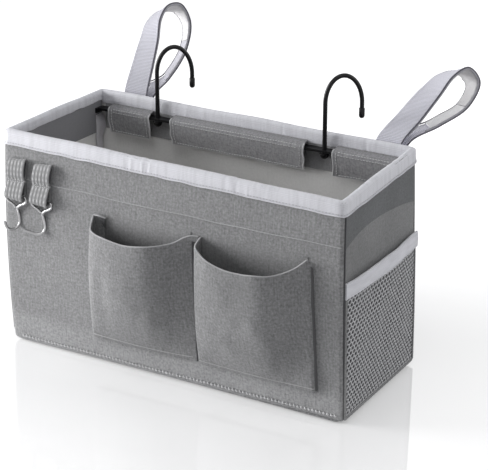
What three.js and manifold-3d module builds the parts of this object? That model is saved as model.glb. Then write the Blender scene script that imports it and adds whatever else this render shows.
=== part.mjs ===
// Bedside caddy: an open cloth box that hangs from a bed rail, with two wire rail hooks on a hidden
// bar, two tape straps at the back, two pleated pockets and two hook tabs on the front, and a net
// pocket on the right end. Millimetres, +Z up, the front faces -Y. The origin is the middle of the
// underside.
import * as THREE from 'three';
import { mergeVertices } from 'three/addons/utils/BufferGeometryUtils.js';
import Module from 'manifold-3d';

// Overall box, over the outer cloth.
const WIDTH = 330;
const DEPTH = 140;
const HEIGHT = 200;
const CORNER = 6;

// Wall layers, from the outside in, and the gap that neighbouring solids keep.
const FABRIC = 1.2;
const BOARD = 2;
const LINING = 0.8;
const GAP = 0.3;

// Loose board on the floor.
const BASE_BOARD = 2.5;
const BASE_PLAY = 1.6;

// Tape folded over the rim.
const BINDING = 0.8;
const BINDING_OUT = 13;
const BINDING_IN = 10;

// Band sewn inside the front wall, and the flap on the back wall that hides the bar but for its ends.
const FRONT_BAND = 31;
const BACKING_DROP = 24.2;
const FACING = 0.8;
const FACING_END = 5.4;
const FLAP_DROP = 24;
const FLAP_RAKE = 3.6;
const FLAP_END = 15.4;

// The two windows in the flap, to the left and right of each rail hook's stem.
const WINDOW_REACH = [[6.5, 17], [18.5, 11]];

// Bar behind the flap, bent forward and down at both ends.
const BAR_WIDTH = 8.5;
const BAR_THICK = 2;
const BAR_DROP = 13;
const BAR_RETURN = 11;
const BAR_LIP = 4.5;
const BAR_HOLE = 4.6;

// Tapes in the two back corners, and how far they end below the bar.
const CORNER_TAPE = 9;
const CORNER_TAPE_DROP = 1.2;

// Rail hooks: bent wire, a domed nut under the bar and a cap on the free end. Each stands this far
// from its own end of the box, left and right.
const RAIL_WIRE = 3.8;
const RAIL_HOOK_INSET = [71, 86];
const RAIL_HOOK_SETBACK = 10;
const RAIL_HOOK_RADIUS = 16;
const RAIL_HOOK_ARCH = 25;
const RAIL_HOOK_RISE = 41.6;
const RAIL_HOOK_DROP = 9;
const RAIL_HOOK_TURN = 35;
const NUT_WIDTH = 8;
const NUT_HEIGHT = 6.6;
const TIP_WIDTH = 5.8;
const TIP_HEIGHT = 9.4;

// Pleated pockets on the front, between these insets from the left and the right end.
const POCKET_INSET = [83, 24];
const POCKET_MIDDLE = 27;
const POCKET_SPACE = 1;
const POCKET_BOTTOM = 24;
const POCKET_DROP = 59;
const POCKET_PLEAT = 7;
const POCKET_NARROW = 3;
const POCKET_DEPTH = 8;
const POCKET_BULGE = 14;
const POCKET_FOLD_DROP = 7;
const POCKET_SAG = 11;
const POCKET_CLOTH = 1.2;
const POCKET_FOLD_RADIUS = 1.3;

// Net pocket on the right end.
const NET_HEIGHT = 112;
const NET_FOOT = 2;
const NET_SIDE = 4;
const NET_THICK = 0.9;
const NET_STAND = 5;
const NET_COLUMNS = 14;
const NET_ROWS = 10;
const NET_STRAND = 1;
const NET_HEM = 2.5;
const NET_TAPE = 14;
const NET_TAPE_THICK = 2;

// Hook tabs: tape sewn across the waist into an upper and a lower loop. Insets are from the left end,
// and the drop is from the rim to the waist.
const TAB_INSET = [8.5, 36];
const TAB_WIDTH = 18.5;
const TAB_TAPE = 1.2;
const TAB_DROP = 42.5;
const TAB_UPPER = 18;
const TAB_UPPER_DEPTH = 6;
const TAB_LOWER = 18;
const TAB_LOWER_DEPTH = 9;
const TAB_SEAM = 5;

// Small wire hooks that hang in the tabs.
const WIRE = 2.2;
const BAIL_DROP = 10;
const BAIL_SHOULDER = 4.5;
const STEM_BOW = 2.5;
const STEM_LENGTH = 13.7;
const CROOK = 7;
const CROOK_TURN = [28, 58];
const CROOK_SWEEP = [165, 110];
const CROOK_TIP = [4, 10.8];

// Back straps: a tape loop lined with pile, and the patch that sews it to the back. Each stands this
// far from its own end of the box, left and right.
const STRAP_INSET = [37.7, 32];
const STRAP_WIDTH = 24;
const STRAP_TAPE = 1;
const STRAP_PILE = 1.2;
const STRAP_YAW = [10, 25];
const STRAP_ROLL = [22, 10];
const STRAP_TWIST = [5, 60];
const STRAP_ROOT = 12.5;
const STRAP_ROOT_SPREAD = 4;
const STRAP_PATCH = 34;
const STRAP_STEPS = 60;
const PILE_STEPS = [9, 50];

// Each strap's loop above the rim, as it stands in the photograph: the tape's right edge, as
// [behind, above] the place where it passes the rim, in the loop's own plane.
const STRAP_LOOP = [
  [[2, 1], [21, 26], [36, 46], [48, 65], [64, 75], [81, 72], [86, 54], [69, 29], [37, 9], [14, 0]],
  [[2.5, 0], [25, 16], [47, 33], [66, 48], [84, 52], [95, 37], [80, 14], [46, 3], [13, -2]],
];

// Sizes that follow from the ones above.
const HALF_X = WIDTH / 2;
const HALF_Y = DEPTH / 2;
const WALL = FABRIC + BOARD + LINING + 2 * GAP;
const FLOOR = FABRIC + GAP;
const WALL_TOP = HEIGHT - BINDING - GAP;
const INNER_X = HALF_X - WALL;
const INNER_Y = HALF_Y - WALL;
const BINDING_REACH = GAP + BINDING;
const BAND_TOP = HEIGHT - BINDING_IN - GAP;
const BACKING_FACE = INNER_Y - GAP - FACING;
const BAR_BACK = BACKING_FACE - GAP;
const BAR_FRONT = BAR_BACK - BAR_WIDTH;
const BAR_HALF = INNER_X - GAP - LINING - GAP;
const HOOK_Y = HALF_Y - RAIL_HOOK_SETBACK;
const FACING_HALF = INNER_X - FACING_END;
const FLAP_HALF = INNER_X - FLAP_END;
const BAR_TOP = HEIGHT - BAR_DROP;
const CORNER_TAPE_TOP = BAR_TOP - BAR_LIP - CORNER_TAPE_DROP;
const RAIL_HOOK_X = [RAIL_HOOK_INSET[0] - HALF_X, HALF_X - RAIL_HOOK_INSET[1]];
const STRAP_X = [STRAP_INSET[0] - HALF_X, HALF_X - STRAP_INSET[1]];
const POCKET_LEFT = POCKET_INSET[0] - HALF_X;
const POCKET_RIGHT = HALF_X - POCKET_INSET[1];
const POCKET_TOP = HEIGHT - POCKET_DROP;
const NET_HALF = HALF_Y - NET_SIDE;
const TAB_X = TAB_INSET.map((inset) => inset - HALF_X);
const TAB_WAIST = HEIGHT - TAB_DROP;

const COLOURS = {
  cloth: 0x8f8f91,
  board: 0x4a4a4c,
  lining: 0x9a9893,
  binding: 0xe4e2ea,
  black: 0x0d0d0e,
  steel: 0xb9bbc0,
  tape: 0xcfcbd8,
  pile: 0xf1f0f2,
  net: 0x77797b,
  web: 0xa5a5a8,
};

const AXIS_X = new THREE.Vector3(1, 0, 0);
const AXIS_Y = new THREE.Vector3(0, 1, 0);
const AXIS_Z = new THREE.Vector3(0, 0, 1);

const wasm = await Module();
wasm.setup();

const caddy = new THREE.Group();
caddy.name = 'bedside_caddy';

function add(name, geometry, colour) {
  const material = new THREE.MeshStandardMaterial({ color: COLOURS[colour] });
  const mesh = new THREE.Mesh(geometry, material);
  mesh.name = name;
  caddy.add(mesh);
}

// Solids for adding and cutting, and back to a geometry.
function solid(geometry) {
  const bare = geometry.clone();
  bare.deleteAttribute('normal');
  bare.deleteAttribute('uv');
  const merged = mergeVertices(bare, 1e-4);
  return new wasm.Manifold(new wasm.Mesh({
    numProp: 3,
    vertProperties: new Float32Array(merged.attributes.position.array),
    triVerts: new Uint32Array(merged.index.array),
  }));
}

function geometryOf(manifold) {
  const mesh = manifold.getMesh();
  const geometry = new THREE.BufferGeometry();
  geometry.setAttribute('position', new THREE.BufferAttribute(mesh.vertProperties, 3));
  geometry.setIndex(new THREE.BufferAttribute(mesh.triVerts, 1));
  return geometry;
}

// A box between two corners.
function block(low, high) {
  const size = high.map((value, i) => value - low[i]);
  const middle = high.map((value, i) => (value + low[i]) / 2);
  return new THREE.BoxGeometry(...size).translate(...middle);
}

function roundedRectangle(halfX, halfY, radius) {
  const shape = new THREE.Shape();
  const x = halfX - radius;
  const y = halfY - radius;
  shape.moveTo(-x, -halfY);
  shape.absarc(x, -y, radius, -Math.PI / 2, 0, false);
  shape.absarc(x, y, radius, 0, Math.PI / 2, false);
  shape.absarc(-x, y, radius, Math.PI / 2, Math.PI, false);
  shape.absarc(-x, -y, radius, Math.PI, 1.5 * Math.PI, false);
  return shape;
}

function extrudeUp(shape, z0, z1) {
  const options = { depth: z1 - z0, bevelEnabled: false, curveSegments: 6 };
  return new THREE.ExtrudeGeometry(shape, options).translate(0, 0, z0);
}

// A shape drawn in Y and Z, extruded along X.
function extrudeAcross(shape, x0, x1) {
  const options = { depth: x1 - x0, bevelEnabled: false, curveSegments: 10 };
  const turn = new THREE.Matrix4().makeBasis(AXIS_Y, AXIS_Z, AXIS_X);
  return new THREE.ExtrudeGeometry(shape, options).applyMatrix4(turn).translate(x0, 0, 0);
}

// Unit normals to the left of a flat path of [a, b] points.
function pathNormals(path) {
  return path.map((point, i) => {
    const before = path[Math.max(i - 1, 0)];
    const after = path[Math.min(i + 1, path.length - 1)];
    const da = after[0] - before[0];
    const db = after[1] - before[1];
    const length = Math.hypot(da, db);
    return [-db / length, da / length];
  });
}

// The outline of a bent sheet of even thickness along a flat path.
function sheetOutline(path, thickness) {
  const normals = pathNormals(path);
  const side = (sign) => path.map(([a, b], i) => new THREE.Vector2(
    a + sign * normals[i][0] * thickness / 2,
    b + sign * normals[i][1] * thickness / 2,
  ));
  return new THREE.Shape([...side(-1), ...side(1).reverse()]);
}

function body(points, index) {
  const positions = points.flatMap((point) => point.toArray());
  const geometry = new THREE.BufferGeometry();
  geometry.setAttribute('position', new THREE.Float32BufferAttribute(positions, 3));
  geometry.setIndex(index);
  return geometry;
}

// The triangles between each ring of points and the next one, for rings with as many points each.
function ringSides(rings) {
  const sides = rings[0].length;
  const index = [];
  for (let i = 0; i + 1 < rings.length; i += 1) {
    for (let j = 0; j < sides; j += 1) {
      const a = i * sides + j;
      const b = i * sides + (j + 1) % sides;
      index.push(a, b, b + sides, a, b + sides, a + sides);
    }
  }
  return index;
}

// A closed body from a row of rings, capped at both ends.
function loft(rings) {
  const sides = rings[0].length;
  const last = (rings.length - 1) * sides;
  const index = ringSides(rings);
  for (let j = 1; j + 1 < sides; j += 1) {
    index.push(0, j + 1, j);
    index.push(last, last + j, last + j + 1);
  }
  return body(rings.flat(), index);
}

// A round wire along a row of points.
function wire(points, diameter, sides) {
  let across = null;
  const rings = points.map((point, i) => {
    const before = points[Math.max(i - 1, 0)];
    const after = points[Math.min(i + 1, points.length - 1)];
    const along = after.clone().sub(before).normalize();
    if (across === null) {
      across = Math.abs(along.z) > 0.8 ? AXIS_X.clone() : AXIS_Z.clone();
    }
    across.addScaledVector(along, -across.dot(along)).normalize();
    const other = along.clone().cross(across);
    return Array.from({ length: sides }, (_, j) => {
      const angle = (2 * Math.PI * j) / sides;
      return point.clone()
        .addScaledVector(across, Math.cos(angle) * diameter / 2)
        .addScaledVector(other, Math.sin(angle) * diameter / 2);
    });
  });
  return loft(rings);
}

function arcPoints(centre, radius, from, to, steps) {
  return Array.from({ length: steps + 1 }, (_, i) => {
    const angle = from + ((to - from) * i) / steps;
    return [centre[0] + radius * Math.cos(angle), centre[1] + radius * Math.sin(angle)];
  });
}

function degrees(value) {
  return (value * Math.PI) / 180;
}

// Outer cloth: the front and back pieces wrap the corners, and the end pieces fill in between.
function wrapPanel() {
  const x = HALF_X - CORNER;
  const y = -HALF_Y + CORNER;
  const inner = CORNER - FABRIC;
  const shape = new THREE.Shape();
  shape.moveTo(-HALF_X, y);
  shape.absarc(-x, y, CORNER, Math.PI, 1.5 * Math.PI, false);
  shape.absarc(x, y, CORNER, 1.5 * Math.PI, 2 * Math.PI, false);
  shape.absarc(x, y, inner, 2 * Math.PI, 1.5 * Math.PI, true);
  shape.absarc(-x, y, inner, 1.5 * Math.PI, Math.PI, true);
  return extrudeUp(shape, FLOOR, WALL_TOP);
}

function endPanel(side) {
  const half = HALF_Y - CORNER - GAP;
  const faces = [side * HALF_X, side * (HALF_X - FABRIC)].sort((a, b) => a - b);
  return block([faces[0], -half, FLOOR], [faces[1], half, WALL_TOP]);
}

function addShell() {
  add('front_panel', wrapPanel(), 'cloth');
  add('back_panel', wrapPanel().rotateZ(Math.PI), 'cloth');
  add('left_panel', endPanel(-1), 'cloth');
  add('right_panel', endPanel(1), 'cloth');
  add('bottom_panel', extrudeUp(roundedRectangle(HALF_X, HALF_Y, CORNER), 0, FABRIC), 'cloth');
}

// A flat layer inside one wall: depth is how far its outer face lies from the outside of the wall.
function wallLayer(wall, depth, thickness, halfLength) {
  const bounds = { front: -HALF_Y, back: HALF_Y, left: -HALF_X, right: HALF_X };
  const inward = bounds[wall] < 0 ? 1 : -1;
  const faces = [bounds[wall] + inward * depth, bounds[wall] + inward * (depth + thickness)];
  faces.sort((a, b) => a - b);
  if (wall === 'front' || wall === 'back') {
    return block([-halfLength, faces[0], FLOOR], [halfLength, faces[1], WALL_TOP]);
  }
  return block([faces[0], -halfLength, FLOOR], [faces[1], halfLength, WALL_TOP]);
}

function addWallLayers() {
  const boardDepth = FABRIC + GAP;
  const liningDepth = boardDepth + BOARD + GAP;
  const boardHalf = {
    front: HALF_X - CORNER,
    back: HALF_X - CORNER,
    left: HALF_Y - CORNER - GAP,
    right: HALF_Y - CORNER - GAP,
  };
  const liningHalf = {
    front: INNER_X + LINING,
    back: INNER_X + LINING,
    left: INNER_Y - GAP,
    right: INNER_Y - GAP,
  };
  for (const wall of ['front', 'back', 'left', 'right']) {
    add(`${wall}_board`, wallLayer(wall, boardDepth, BOARD, boardHalf[wall]), 'board');
    add(`${wall}_lining`, wallLayer(wall, liningDepth, LINING, liningHalf[wall]), 'lining');
  }
  const floor = [INNER_X - GAP, INNER_Y - GAP];
  const liningTop = FLOOR + LINING;
  add('bottom_lining', block(
    [-floor[0], -floor[1], FLOOR],
    [floor[0], floor[1], liningTop],
  ), 'lining');
  const baseShape = roundedRectangle(floor[0] - BASE_PLAY, floor[1] - BASE_PLAY, CORNER);
  add('base_board', extrudeUp(baseShape, liningTop + GAP, liningTop + GAP + BASE_BOARD), 'board');
}

// Tape folded over all the layers of the rim: an upside-down channel that runs round the box.
function rimBinding() {
  const ring = (outset, z0, z1) => solid(extrudeUp(
    roundedRectangle(HALF_X + outset, HALF_Y + outset, CORNER + outset), z0, z1));
  const well = (inset, z0, z1) => solid(extrudeUp(
    roundedRectangle(INNER_X - inset, INNER_Y - inset, GAP + inset), z0, z1));
  const under = HEIGHT - Math.max(BINDING_OUT, BINDING_IN) - 1;
  const channel = ring(GAP, under, HEIGHT - BINDING).subtract(well(GAP, under, HEIGHT));
  return ring(BINDING_REACH, HEIGHT - BINDING_OUT, HEIGHT)
    .subtract(channel)
    .subtract(well(BINDING_REACH, under, HEIGHT + 1))
    .subtract(well(GAP, under, HEIGHT - BINDING_IN));
}

// Bent cloth that leaves the wall under the rim, passes over the bar and hangs before it.
function flapOutline() {
  const wallFace = BAR_BACK - FACING / 2;
  const overBar = BAR_TOP + GAP + FACING / 2;
  const beforeBar = BAR_FRONT - GAP - FACING / 2;
  const foot = BAND_TOP - FLAP_DROP;
  const path = [
    [wallFace, BAND_TOP],
    [wallFace - FACING, overBar + FACING / 2],
    [beforeBar + FACING / 2, overBar],
    [beforeBar, overBar - FACING / 2],
    [beforeBar, BAR_TOP - BAR_THICK - GAP],
    [beforeBar + FLAP_RAKE, foot],
  ];
  return sheetOutline(path, FACING);
}

function addRimAndFacings() {
  add('rim_binding', geometryOf(rimBinding()), 'binding');
  const frontFace = -INNER_Y + GAP;
  add('front_facing', block(
    [-FACING_HALF, frontFace, BAND_TOP - FRONT_BAND],
    [FACING_HALF, frontFace + FACING, BAND_TOP],
  ), 'cloth');
  add('rail_backing', block(
    [-FACING_HALF, BACKING_FACE, BAND_TOP - BACKING_DROP],
    [FACING_HALF, BACKING_FACE + FACING, BAND_TOP],
  ), 'cloth');
  const outline = flapOutline();
  const windows = RAIL_HOOK_X.map((x, i) => [x - WINDOW_REACH[i][0], x + WINDOW_REACH[i][1]]);
  const edges = [-FLAP_HALF, ...windows.flat(), FLAP_HALF];
  ['left', 'middle', 'right'].forEach((part, i) => {
    add(`back_facing_${part}`, extrudeAcross(outline, edges[2 * i], edges[2 * i + 1]), 'cloth');
  });
  for (const [name, side] of [['left', -1], ['right', 1]]) {
    const outer = INNER_X - GAP;
    const faces = [side * outer, side * (outer - LINING)].sort((a, b) => a - b);
    add(`corner_tape_${name}`, block(
      [faces[0], BAR_FRONT, FLOOR + LINING + 2 * GAP + BASE_BOARD],
      [faces[1], BAR_FRONT + CORNER_TAPE, CORNER_TAPE_TOP],
    ), 'tape');
  }
}

// Flat bar with bent ends and a hole for each hook.
function railBar() {
  let bar = solid(block(
    [-BAR_HALF, BAR_FRONT, BAR_TOP - BAR_THICK],
    [BAR_HALF, BAR_BACK, BAR_TOP],
  ));
  for (const side of [-1, 1]) {
    const faces = [side * BAR_HALF, side * (BAR_HALF - BAR_THICK)].sort((a, b) => a - b);
    bar = bar.add(solid(block(
      [faces[0], BAR_BACK - BAR_RETURN, BAR_TOP - BAR_LIP],
      [faces[1], BAR_BACK, BAR_TOP],
    )));
  }
  for (const x of RAIL_HOOK_X) {
    const hole = new THREE.CylinderGeometry(BAR_HOLE / 2, BAR_HOLE / 2, 3 * BAR_THICK, 16)
      .rotateX(Math.PI / 2)
      .translate(x, HOOK_Y, BAR_TOP - BAR_THICK / 2);
    bar = bar.subtract(solid(hole));
  }
  return bar;
}

// A turned piece from [radius, height] points, stood on Z.
function turned(profile, sides) {
  const points = profile.map(([radius, height]) => new THREE.Vector2(radius, height));
  return mergeVertices(strip(new THREE.LatheGeometry(points, sides).rotateX(Math.PI / 2)), 1e-4);
}

function strip(geometry) {
  geometry.deleteAttribute('normal');
  geometry.deleteAttribute('uv');
  return geometry;
}

// A domed cap with a blind hole: closed end at height 0, open end at its full height.
function domedCap(width, height, bore, depth) {
  const radius = width / 2;
  const dome = arcPoints([0, radius], radius, -Math.PI / 2, 0, 5);
  const profile = [...dome, [radius, height], [bore / 2, height], [bore / 2, height - depth]];
  return turned([...profile, [0, height - depth]], 16);
}

function addRail() {
  add('rail_bar', geometryOf(railBar()), 'black');
  const nutTop = BAR_TOP - BAR_THICK - GAP;
  const nutDepth = NUT_HEIGHT - 2;
  const bend = BAR_TOP + RAIL_HOOK_RISE;
  const tipDepth = TIP_HEIGHT / 2;
  const wireEnd = bend - RAIL_HOOK_DROP;
  ['left', 'right'].forEach((side, i) => {
    const place = (geometry) => geometry
      .rotateZ(degrees(RAIL_HOOK_TURN))
      .translate(RAIL_HOOK_X[i], HOOK_Y, 0);
    const route = [
      [0, nutTop - nutDepth + GAP],
      ...arcPoints([RAIL_HOOK_RADIUS, 0], RAIL_HOOK_RADIUS, Math.PI, 0, 14)
        .map(([out, up]) => [out, bend + up * RAIL_HOOK_ARCH / RAIL_HOOK_RADIUS]),
      [2 * RAIL_HOOK_RADIUS, wireEnd],
    ].map(([out, z]) => new THREE.Vector3(out, 0, z));
    add(`rail_hook_${side}`, place(wire(route, RAIL_WIRE, 12)), 'black');
    const bore = RAIL_WIRE + 2 * GAP;
    const nut = domedCap(NUT_WIDTH, NUT_HEIGHT, bore, nutDepth).translate(0, 0, nutTop - NUT_HEIGHT);
    add(`hook_nut_${side}`, place(nut), 'black');
    const tip = domedCap(TIP_WIDTH, TIP_HEIGHT, bore, tipDepth)
      .translate(2 * RAIL_HOOK_RADIUS, 0, wireEnd - GAP - TIP_HEIGHT + tipDepth);
    add(`hook_tip_${side}`, place(tip), 'black');
  });
}

// One level of a pocket, seen from above: out from the panel at the sewn edge, round the pleat's
// fold, across the bulging front and back again. Points are [x, distance out of the panel].
function pocketLevel(x0, x1, level) {
  const sewn = GAP + POCKET_CLOTH / 2;
  const radius = POCKET_FOLD_RADIUS;
  const flat = sewn + 2 * radius;
  const depth = flat + (POCKET_DEPTH - flat) * level;
  const bulge = POCKET_BULGE * level;
  const start = [x0 + POCKET_PLEAT, sewn];
  const inset = radius + POCKET_CLOTH / 2 + POCKET_NARROW * level;
  const centre = [x0 + inset, depth - radius];
  const toCentre = [centre[0] - start[0], centre[1] - start[1]];
  const distance = Math.hypot(...toCentre);
  const heading = Math.atan2(toCentre[1], toCentre[0]) + Math.asin(radius / distance);
  const fold = arcPoints(centre, radius, heading + Math.PI / 2, Math.PI / 2, 5);
  const left = [start, ...fold];
  const steps = 12;
  const front = Array.from({ length: steps - 1 }, (_, i) => {
    const share = (i + 1) / steps;
    const x = x0 + inset + (x1 - x0 - 2 * inset) * share;
    return [x, depth + bulge * Math.sin(Math.PI * share)];
  });
  const right = left.map(([x, out]) => [x0 + x1 - x, out]).reverse();
  return [...left, ...front, ...right];
}

// Height of a pocket's top edge where it lies this far out of the panel.
function pocketEdge(out) {
  const share = Math.min(out / POCKET_DEPTH, 1);
  const bow = Math.max(out - POCKET_DEPTH, 0) / POCKET_BULGE;
  return POCKET_TOP - POCKET_FOLD_DROP * share - (POCKET_SAG - POCKET_FOLD_DROP) * bow;
}

function pocket(x0, x1) {
  const levels = 8;
  const full = pocketLevel(x0, x1, 1);
  const rows = Array.from({ length: levels + 1 }, (_, k) => {
    const level = k / levels;
    const path = pocketLevel(x0, x1, level);
    const normals = pathNormals(path);
    const side = (sign) => path.map(([x, out], i) => {
      const top = pocketEdge(full[i][1]);
      const z = POCKET_BOTTOM + (top - POCKET_BOTTOM) * level;
      const shift = sign * POCKET_CLOTH / 2;
      const y = -HALF_Y - out - shift * normals[i][1];
      return new THREE.Vector3(x + shift * normals[i][0], y, z);
    });
    return [...side(1), ...side(-1).reverse()];
  });
  return sheetLoft(rows);
}

// A closed sheet from rings that run along one face and back along the other. The two end rings
// are closed between the faces, point by point.
function sheetLoft(rings) {
  const sides = rings[0].length;
  const last = (rings.length - 1) * sides;
  const index = ringSides(rings);
  for (let j = 0; j + 1 < sides / 2; j += 1) {
    const k = sides - 1 - j;
    index.push(j, k, k - 1, j, k - 1, j + 1);
    index.push(last + j, last + k - 1, last + k, last + j, last + j + 1, last + k - 1);
  }
  return body(rings.flat(), index);
}

function addPockets() {
  const divide = POCKET_MIDDLE;
  add('pocket_left', pocket(POCKET_LEFT, divide - POCKET_SPACE / 2), 'cloth');
  add('pocket_right', pocket(divide + POCKET_SPACE / 2, POCKET_RIGHT), 'cloth');
}

// How far the net stands off the end panel: nothing at its sewn edges, most at the mouth.
function netStand(y, z) {
  const across = 1 - Math.pow(Math.abs(y) / NET_HALF, 4);
  const height = (z - NET_FOOT) / (NET_HEIGHT - NET_FOOT);
  return NET_STAND * across * Math.sin((height * Math.PI) / 2);
}

// A sheet from flat triangles: a front face, a back face, and a wall along each edge that only one
// triangle has. The place of a point on the back (0) or the front (1) comes from the last argument.
function thickSheet(points, triangles, place) {
  const count = points.length;
  const placed = [0, 1].flatMap((layer) => points.map(([a, b]) => place(a, b, layer)));
  const edges = new Set();
  const index = [];
  for (const [a, b, c] of triangles) {
    index.push(a + count, b + count, c + count, a, c, b);
    [[a, b], [b, c], [c, a]].forEach((edge) => edges.add(edge.join()));
  }
  for (const edge of edges) {
    const [a, b] = edge.split(',').map(Number);
    if (!edges.has([b, a].join())) {
      index.push(a, b, b + count, a, b + count, a + count);
    }
  }
  return body(placed, index);
}

// A cloth net: staggered diamond cells, each a frame of strands round a gap, inside a plain hem.
function net() {
  const inner = NET_HALF - NET_HEM;
  const low = NET_FOOT + NET_HEM;
  const high = NET_HEIGHT - NET_HEM;
  const pitchY = (2 * inner) / NET_COLUMNS;
  const pitchZ = (high - low) / NET_ROWS;
  const slope = Math.hypot(pitchY, pitchZ);
  const gapY = pitchY / 2 - (NET_STRAND / 2) * (slope / pitchZ);
  const gapZ = pitchZ / 2 - (NET_STRAND / 2) * (slope / pitchY);
  const points = [];
  const found = new Map();
  const triangles = [];
  const at = (y, z) => {
    const key = `${y.toFixed(3)} ${z.toFixed(3)}`;
    if (!found.has(key)) {
      found.set(key, points.length);
      points.push([y, z]);
    }
    return found.get(key);
  };
  // Points of the cells' corners, counted in half cells from the hem's lower left inside corner.
  const corner = (column, row) => at(-inner + (pitchY * column) / 2, low + (pitchZ * row) / 2);
  const diamond = (y, z, reachY, reachZ) => [
    at(y + reachY, z), at(y, z + reachZ), at(y - reachY, z), at(y, z - reachZ),
  ];
  const join = (outside, inside) => outside.forEach((a, i) => {
    const next = (i + 1) % outside.length;
    triangles.push([a, outside[next], inside[next]], [a, inside[next], inside[i]]);
  });
  const columns = 2 * NET_COLUMNS;
  const rows = 2 * NET_ROWS;
  for (let row = 1; row < rows; row += 1) {
    for (let column = 2 - (row % 2); column < columns; column += 2) {
      const y = -inner + (pitchY * column) / 2;
      const z = low + (pitchZ * row) / 2;
      join(diamond(y, z, pitchY / 2, pitchZ / 2), diamond(y, z, gapY, gapZ));
    }
  }
  // The half cells along the four sides are plain cloth, and so are the quarter cells in the corners.
  for (let column = 2; column < columns; column += 2) {
    triangles.push([corner(column - 1, 0), corner(column + 1, 0), corner(column, 1)]);
    triangles.push([corner(column + 1, rows), corner(column - 1, rows), corner(column, rows - 1)]);
  }
  for (let row = 2; row < rows; row += 2) {
    triangles.push([corner(0, row + 1), corner(0, row - 1), corner(1, row)]);
    triangles.push([corner(columns, row - 1), corner(columns, row + 1), corner(columns - 1, row)]);
  }
  triangles.push([corner(0, 0), corner(1, 0), corner(0, 1)]);
  triangles.push([corner(columns, 0), corner(columns, 1), corner(columns - 1, 0)]);
  triangles.push([corner(columns, rows), corner(columns - 1, rows), corner(columns, rows - 1)]);
  triangles.push([corner(0, rows), corner(0, rows - 1), corner(1, rows)]);
  // The hem joins the inside border, point by point, to the sewn outline.
  const odd = (length) => Array.from({ length }, (_, i) => 2 * i + 1);
  const border = [
    [0, 0], ...odd(NET_COLUMNS).map((column) => [column, 0]),
    [columns, 0], ...odd(NET_ROWS).map((row) => [columns, row]),
    [columns, rows], ...odd(NET_COLUMNS).reverse().map((column) => [column, rows]),
    [0, rows], ...odd(NET_ROWS).reverse().map((row) => [0, row]),
  ].map(([column, row]) => corner(column, row));
  const outline = border.map((i) => {
    const [y, z] = points[i];
    const edgeZ = z - low < high - z ? NET_FOOT : NET_HEIGHT;
    const onSide = inner - Math.abs(y) < GAP;
    const onEnd = Math.min(z - low, high - z) < GAP;
    return at(onSide ? Math.sign(y) * NET_HALF : y, onEnd ? edgeZ : z);
  });
  join(outline, border);
  return thickSheet(points, triangles, (y, z, layer) => {
    const x = HALF_X + GAP + layer * NET_THICK + netStand(y, z);
    return new THREE.Vector3(x, y, z);
  });
}

function netTape() {
  const steps = 20;
  const path = Array.from({ length: steps + 1 }, (_, i) => {
    const y = NET_HALF - (2 * NET_HALF * i) / steps;
    return [HALF_X + GAP + NET_TAPE_THICK / 2 + netStand(y, NET_HEIGHT), y];
  });
  const bottom = NET_HEIGHT + GAP;
  return extrudeUp(sheetOutline(path, NET_TAPE_THICK), bottom, bottom + NET_TAPE);
}

function addNetPocket() {
  add('mesh_pocket', net(), 'net');
  add('mesh_pocket_binding', netTape(), 'binding');
}

// A flattened tape loop seen from the side: an upright ellipse resting on the panel.
function tabRing(depth, height, z, inset) {
  const shape = new THREE.Shape();
  const y = -HALF_Y - GAP - depth / 2;
  shape.absellipse(y, z, depth / 2 - inset, height / 2 - inset, 0, 2 * Math.PI, false, 0);
  return shape;
}

function tabLoop(x) {
  const x0 = x - TAB_WIDTH / 2;
  const x1 = x + TAB_WIDTH / 2;
  const upperZ = TAB_WAIST + TAB_UPPER / 2;
  const lowerZ = TAB_WAIST - TAB_LOWER / 2;
  const loop = (depth, height, z, inset, past) => solid(
    extrudeAcross(tabRing(depth, height, z, inset), x0 - past, x1 + past));
  const seam = solid(block(
    [x0, -HALF_Y - GAP - 2.5 * TAB_TAPE, TAB_WAIST - TAB_SEAM / 2],
    [x1, -HALF_Y - GAP, TAB_WAIST + TAB_SEAM / 2],
  ));
  return loop(TAB_UPPER_DEPTH, TAB_UPPER, upperZ, 0, 0)
    .add(loop(TAB_LOWER_DEPTH, TAB_LOWER, lowerZ, 0, 0))
    .subtract(loop(TAB_UPPER_DEPTH, TAB_UPPER, upperZ, TAB_TAPE, 1))
    .subtract(loop(TAB_LOWER_DEPTH, TAB_LOWER, lowerZ, TAB_TAPE, 1))
    .add(seam);
}

// Small hook: a bail through the tab's lower loop, then a stem and a crook, from one wire. The
// crook's plane is turned to the left, as the hook hangs in the photograph.
function smallHook(x, turn, sweep, tip) {
  const y = -HALF_Y - GAP - TAB_LOWER_DEPTH / 2;
  const z = TAB_WAIST - TAB_LOWER + TAB_TAPE + 2 * GAP + WIRE / 2;
  const half = TAB_WIDTH / 2 + GAP + WIRE / 2;
  const bend = WIRE;
  const right = arcPoints([half - bend, -bend], bend, Math.PI / 2, 0, 4);
  const left = arcPoints([bend - half, -bend], bend, Math.PI, Math.PI / 2, 4);
  const foot = 0.6 * WIRE;
  const bail = [
    [-foot, -BAIL_DROP], [-half, -BAIL_SHOULDER], ...left,
    ...right, [half, -BAIL_SHOULDER], [foot, -BAIL_DROP],
  ].map(([across, up]) => new THREE.Vector3(x + across, y, z + up));
  const sideways = -Math.sin(degrees(turn));
  const forward = -Math.cos(degrees(turn));
  const finish = Math.PI + degrees(sweep);
  const crook = arcPoints([CROOK - STEM_BOW, -BAIL_DROP - STEM_LENGTH], CROOK, Math.PI, finish, 10);
  const end = crook[crook.length - 1];
  const stem = [
    [0, -BAIL_DROP + WIRE / 2], [-STEM_BOW * 0.6, -BAIL_DROP - STEM_LENGTH / 2], ...crook,
    [end[0] - tip * Math.sin(finish), end[1] + tip * Math.cos(finish)],
  ].map(([out, up]) => new THREE.Vector3(x + out * sideways, y + out * forward, z + up));
  return solid(wire(bail, WIRE, 8)).add(solid(wire(stem, WIRE, 8)));
}

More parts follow.
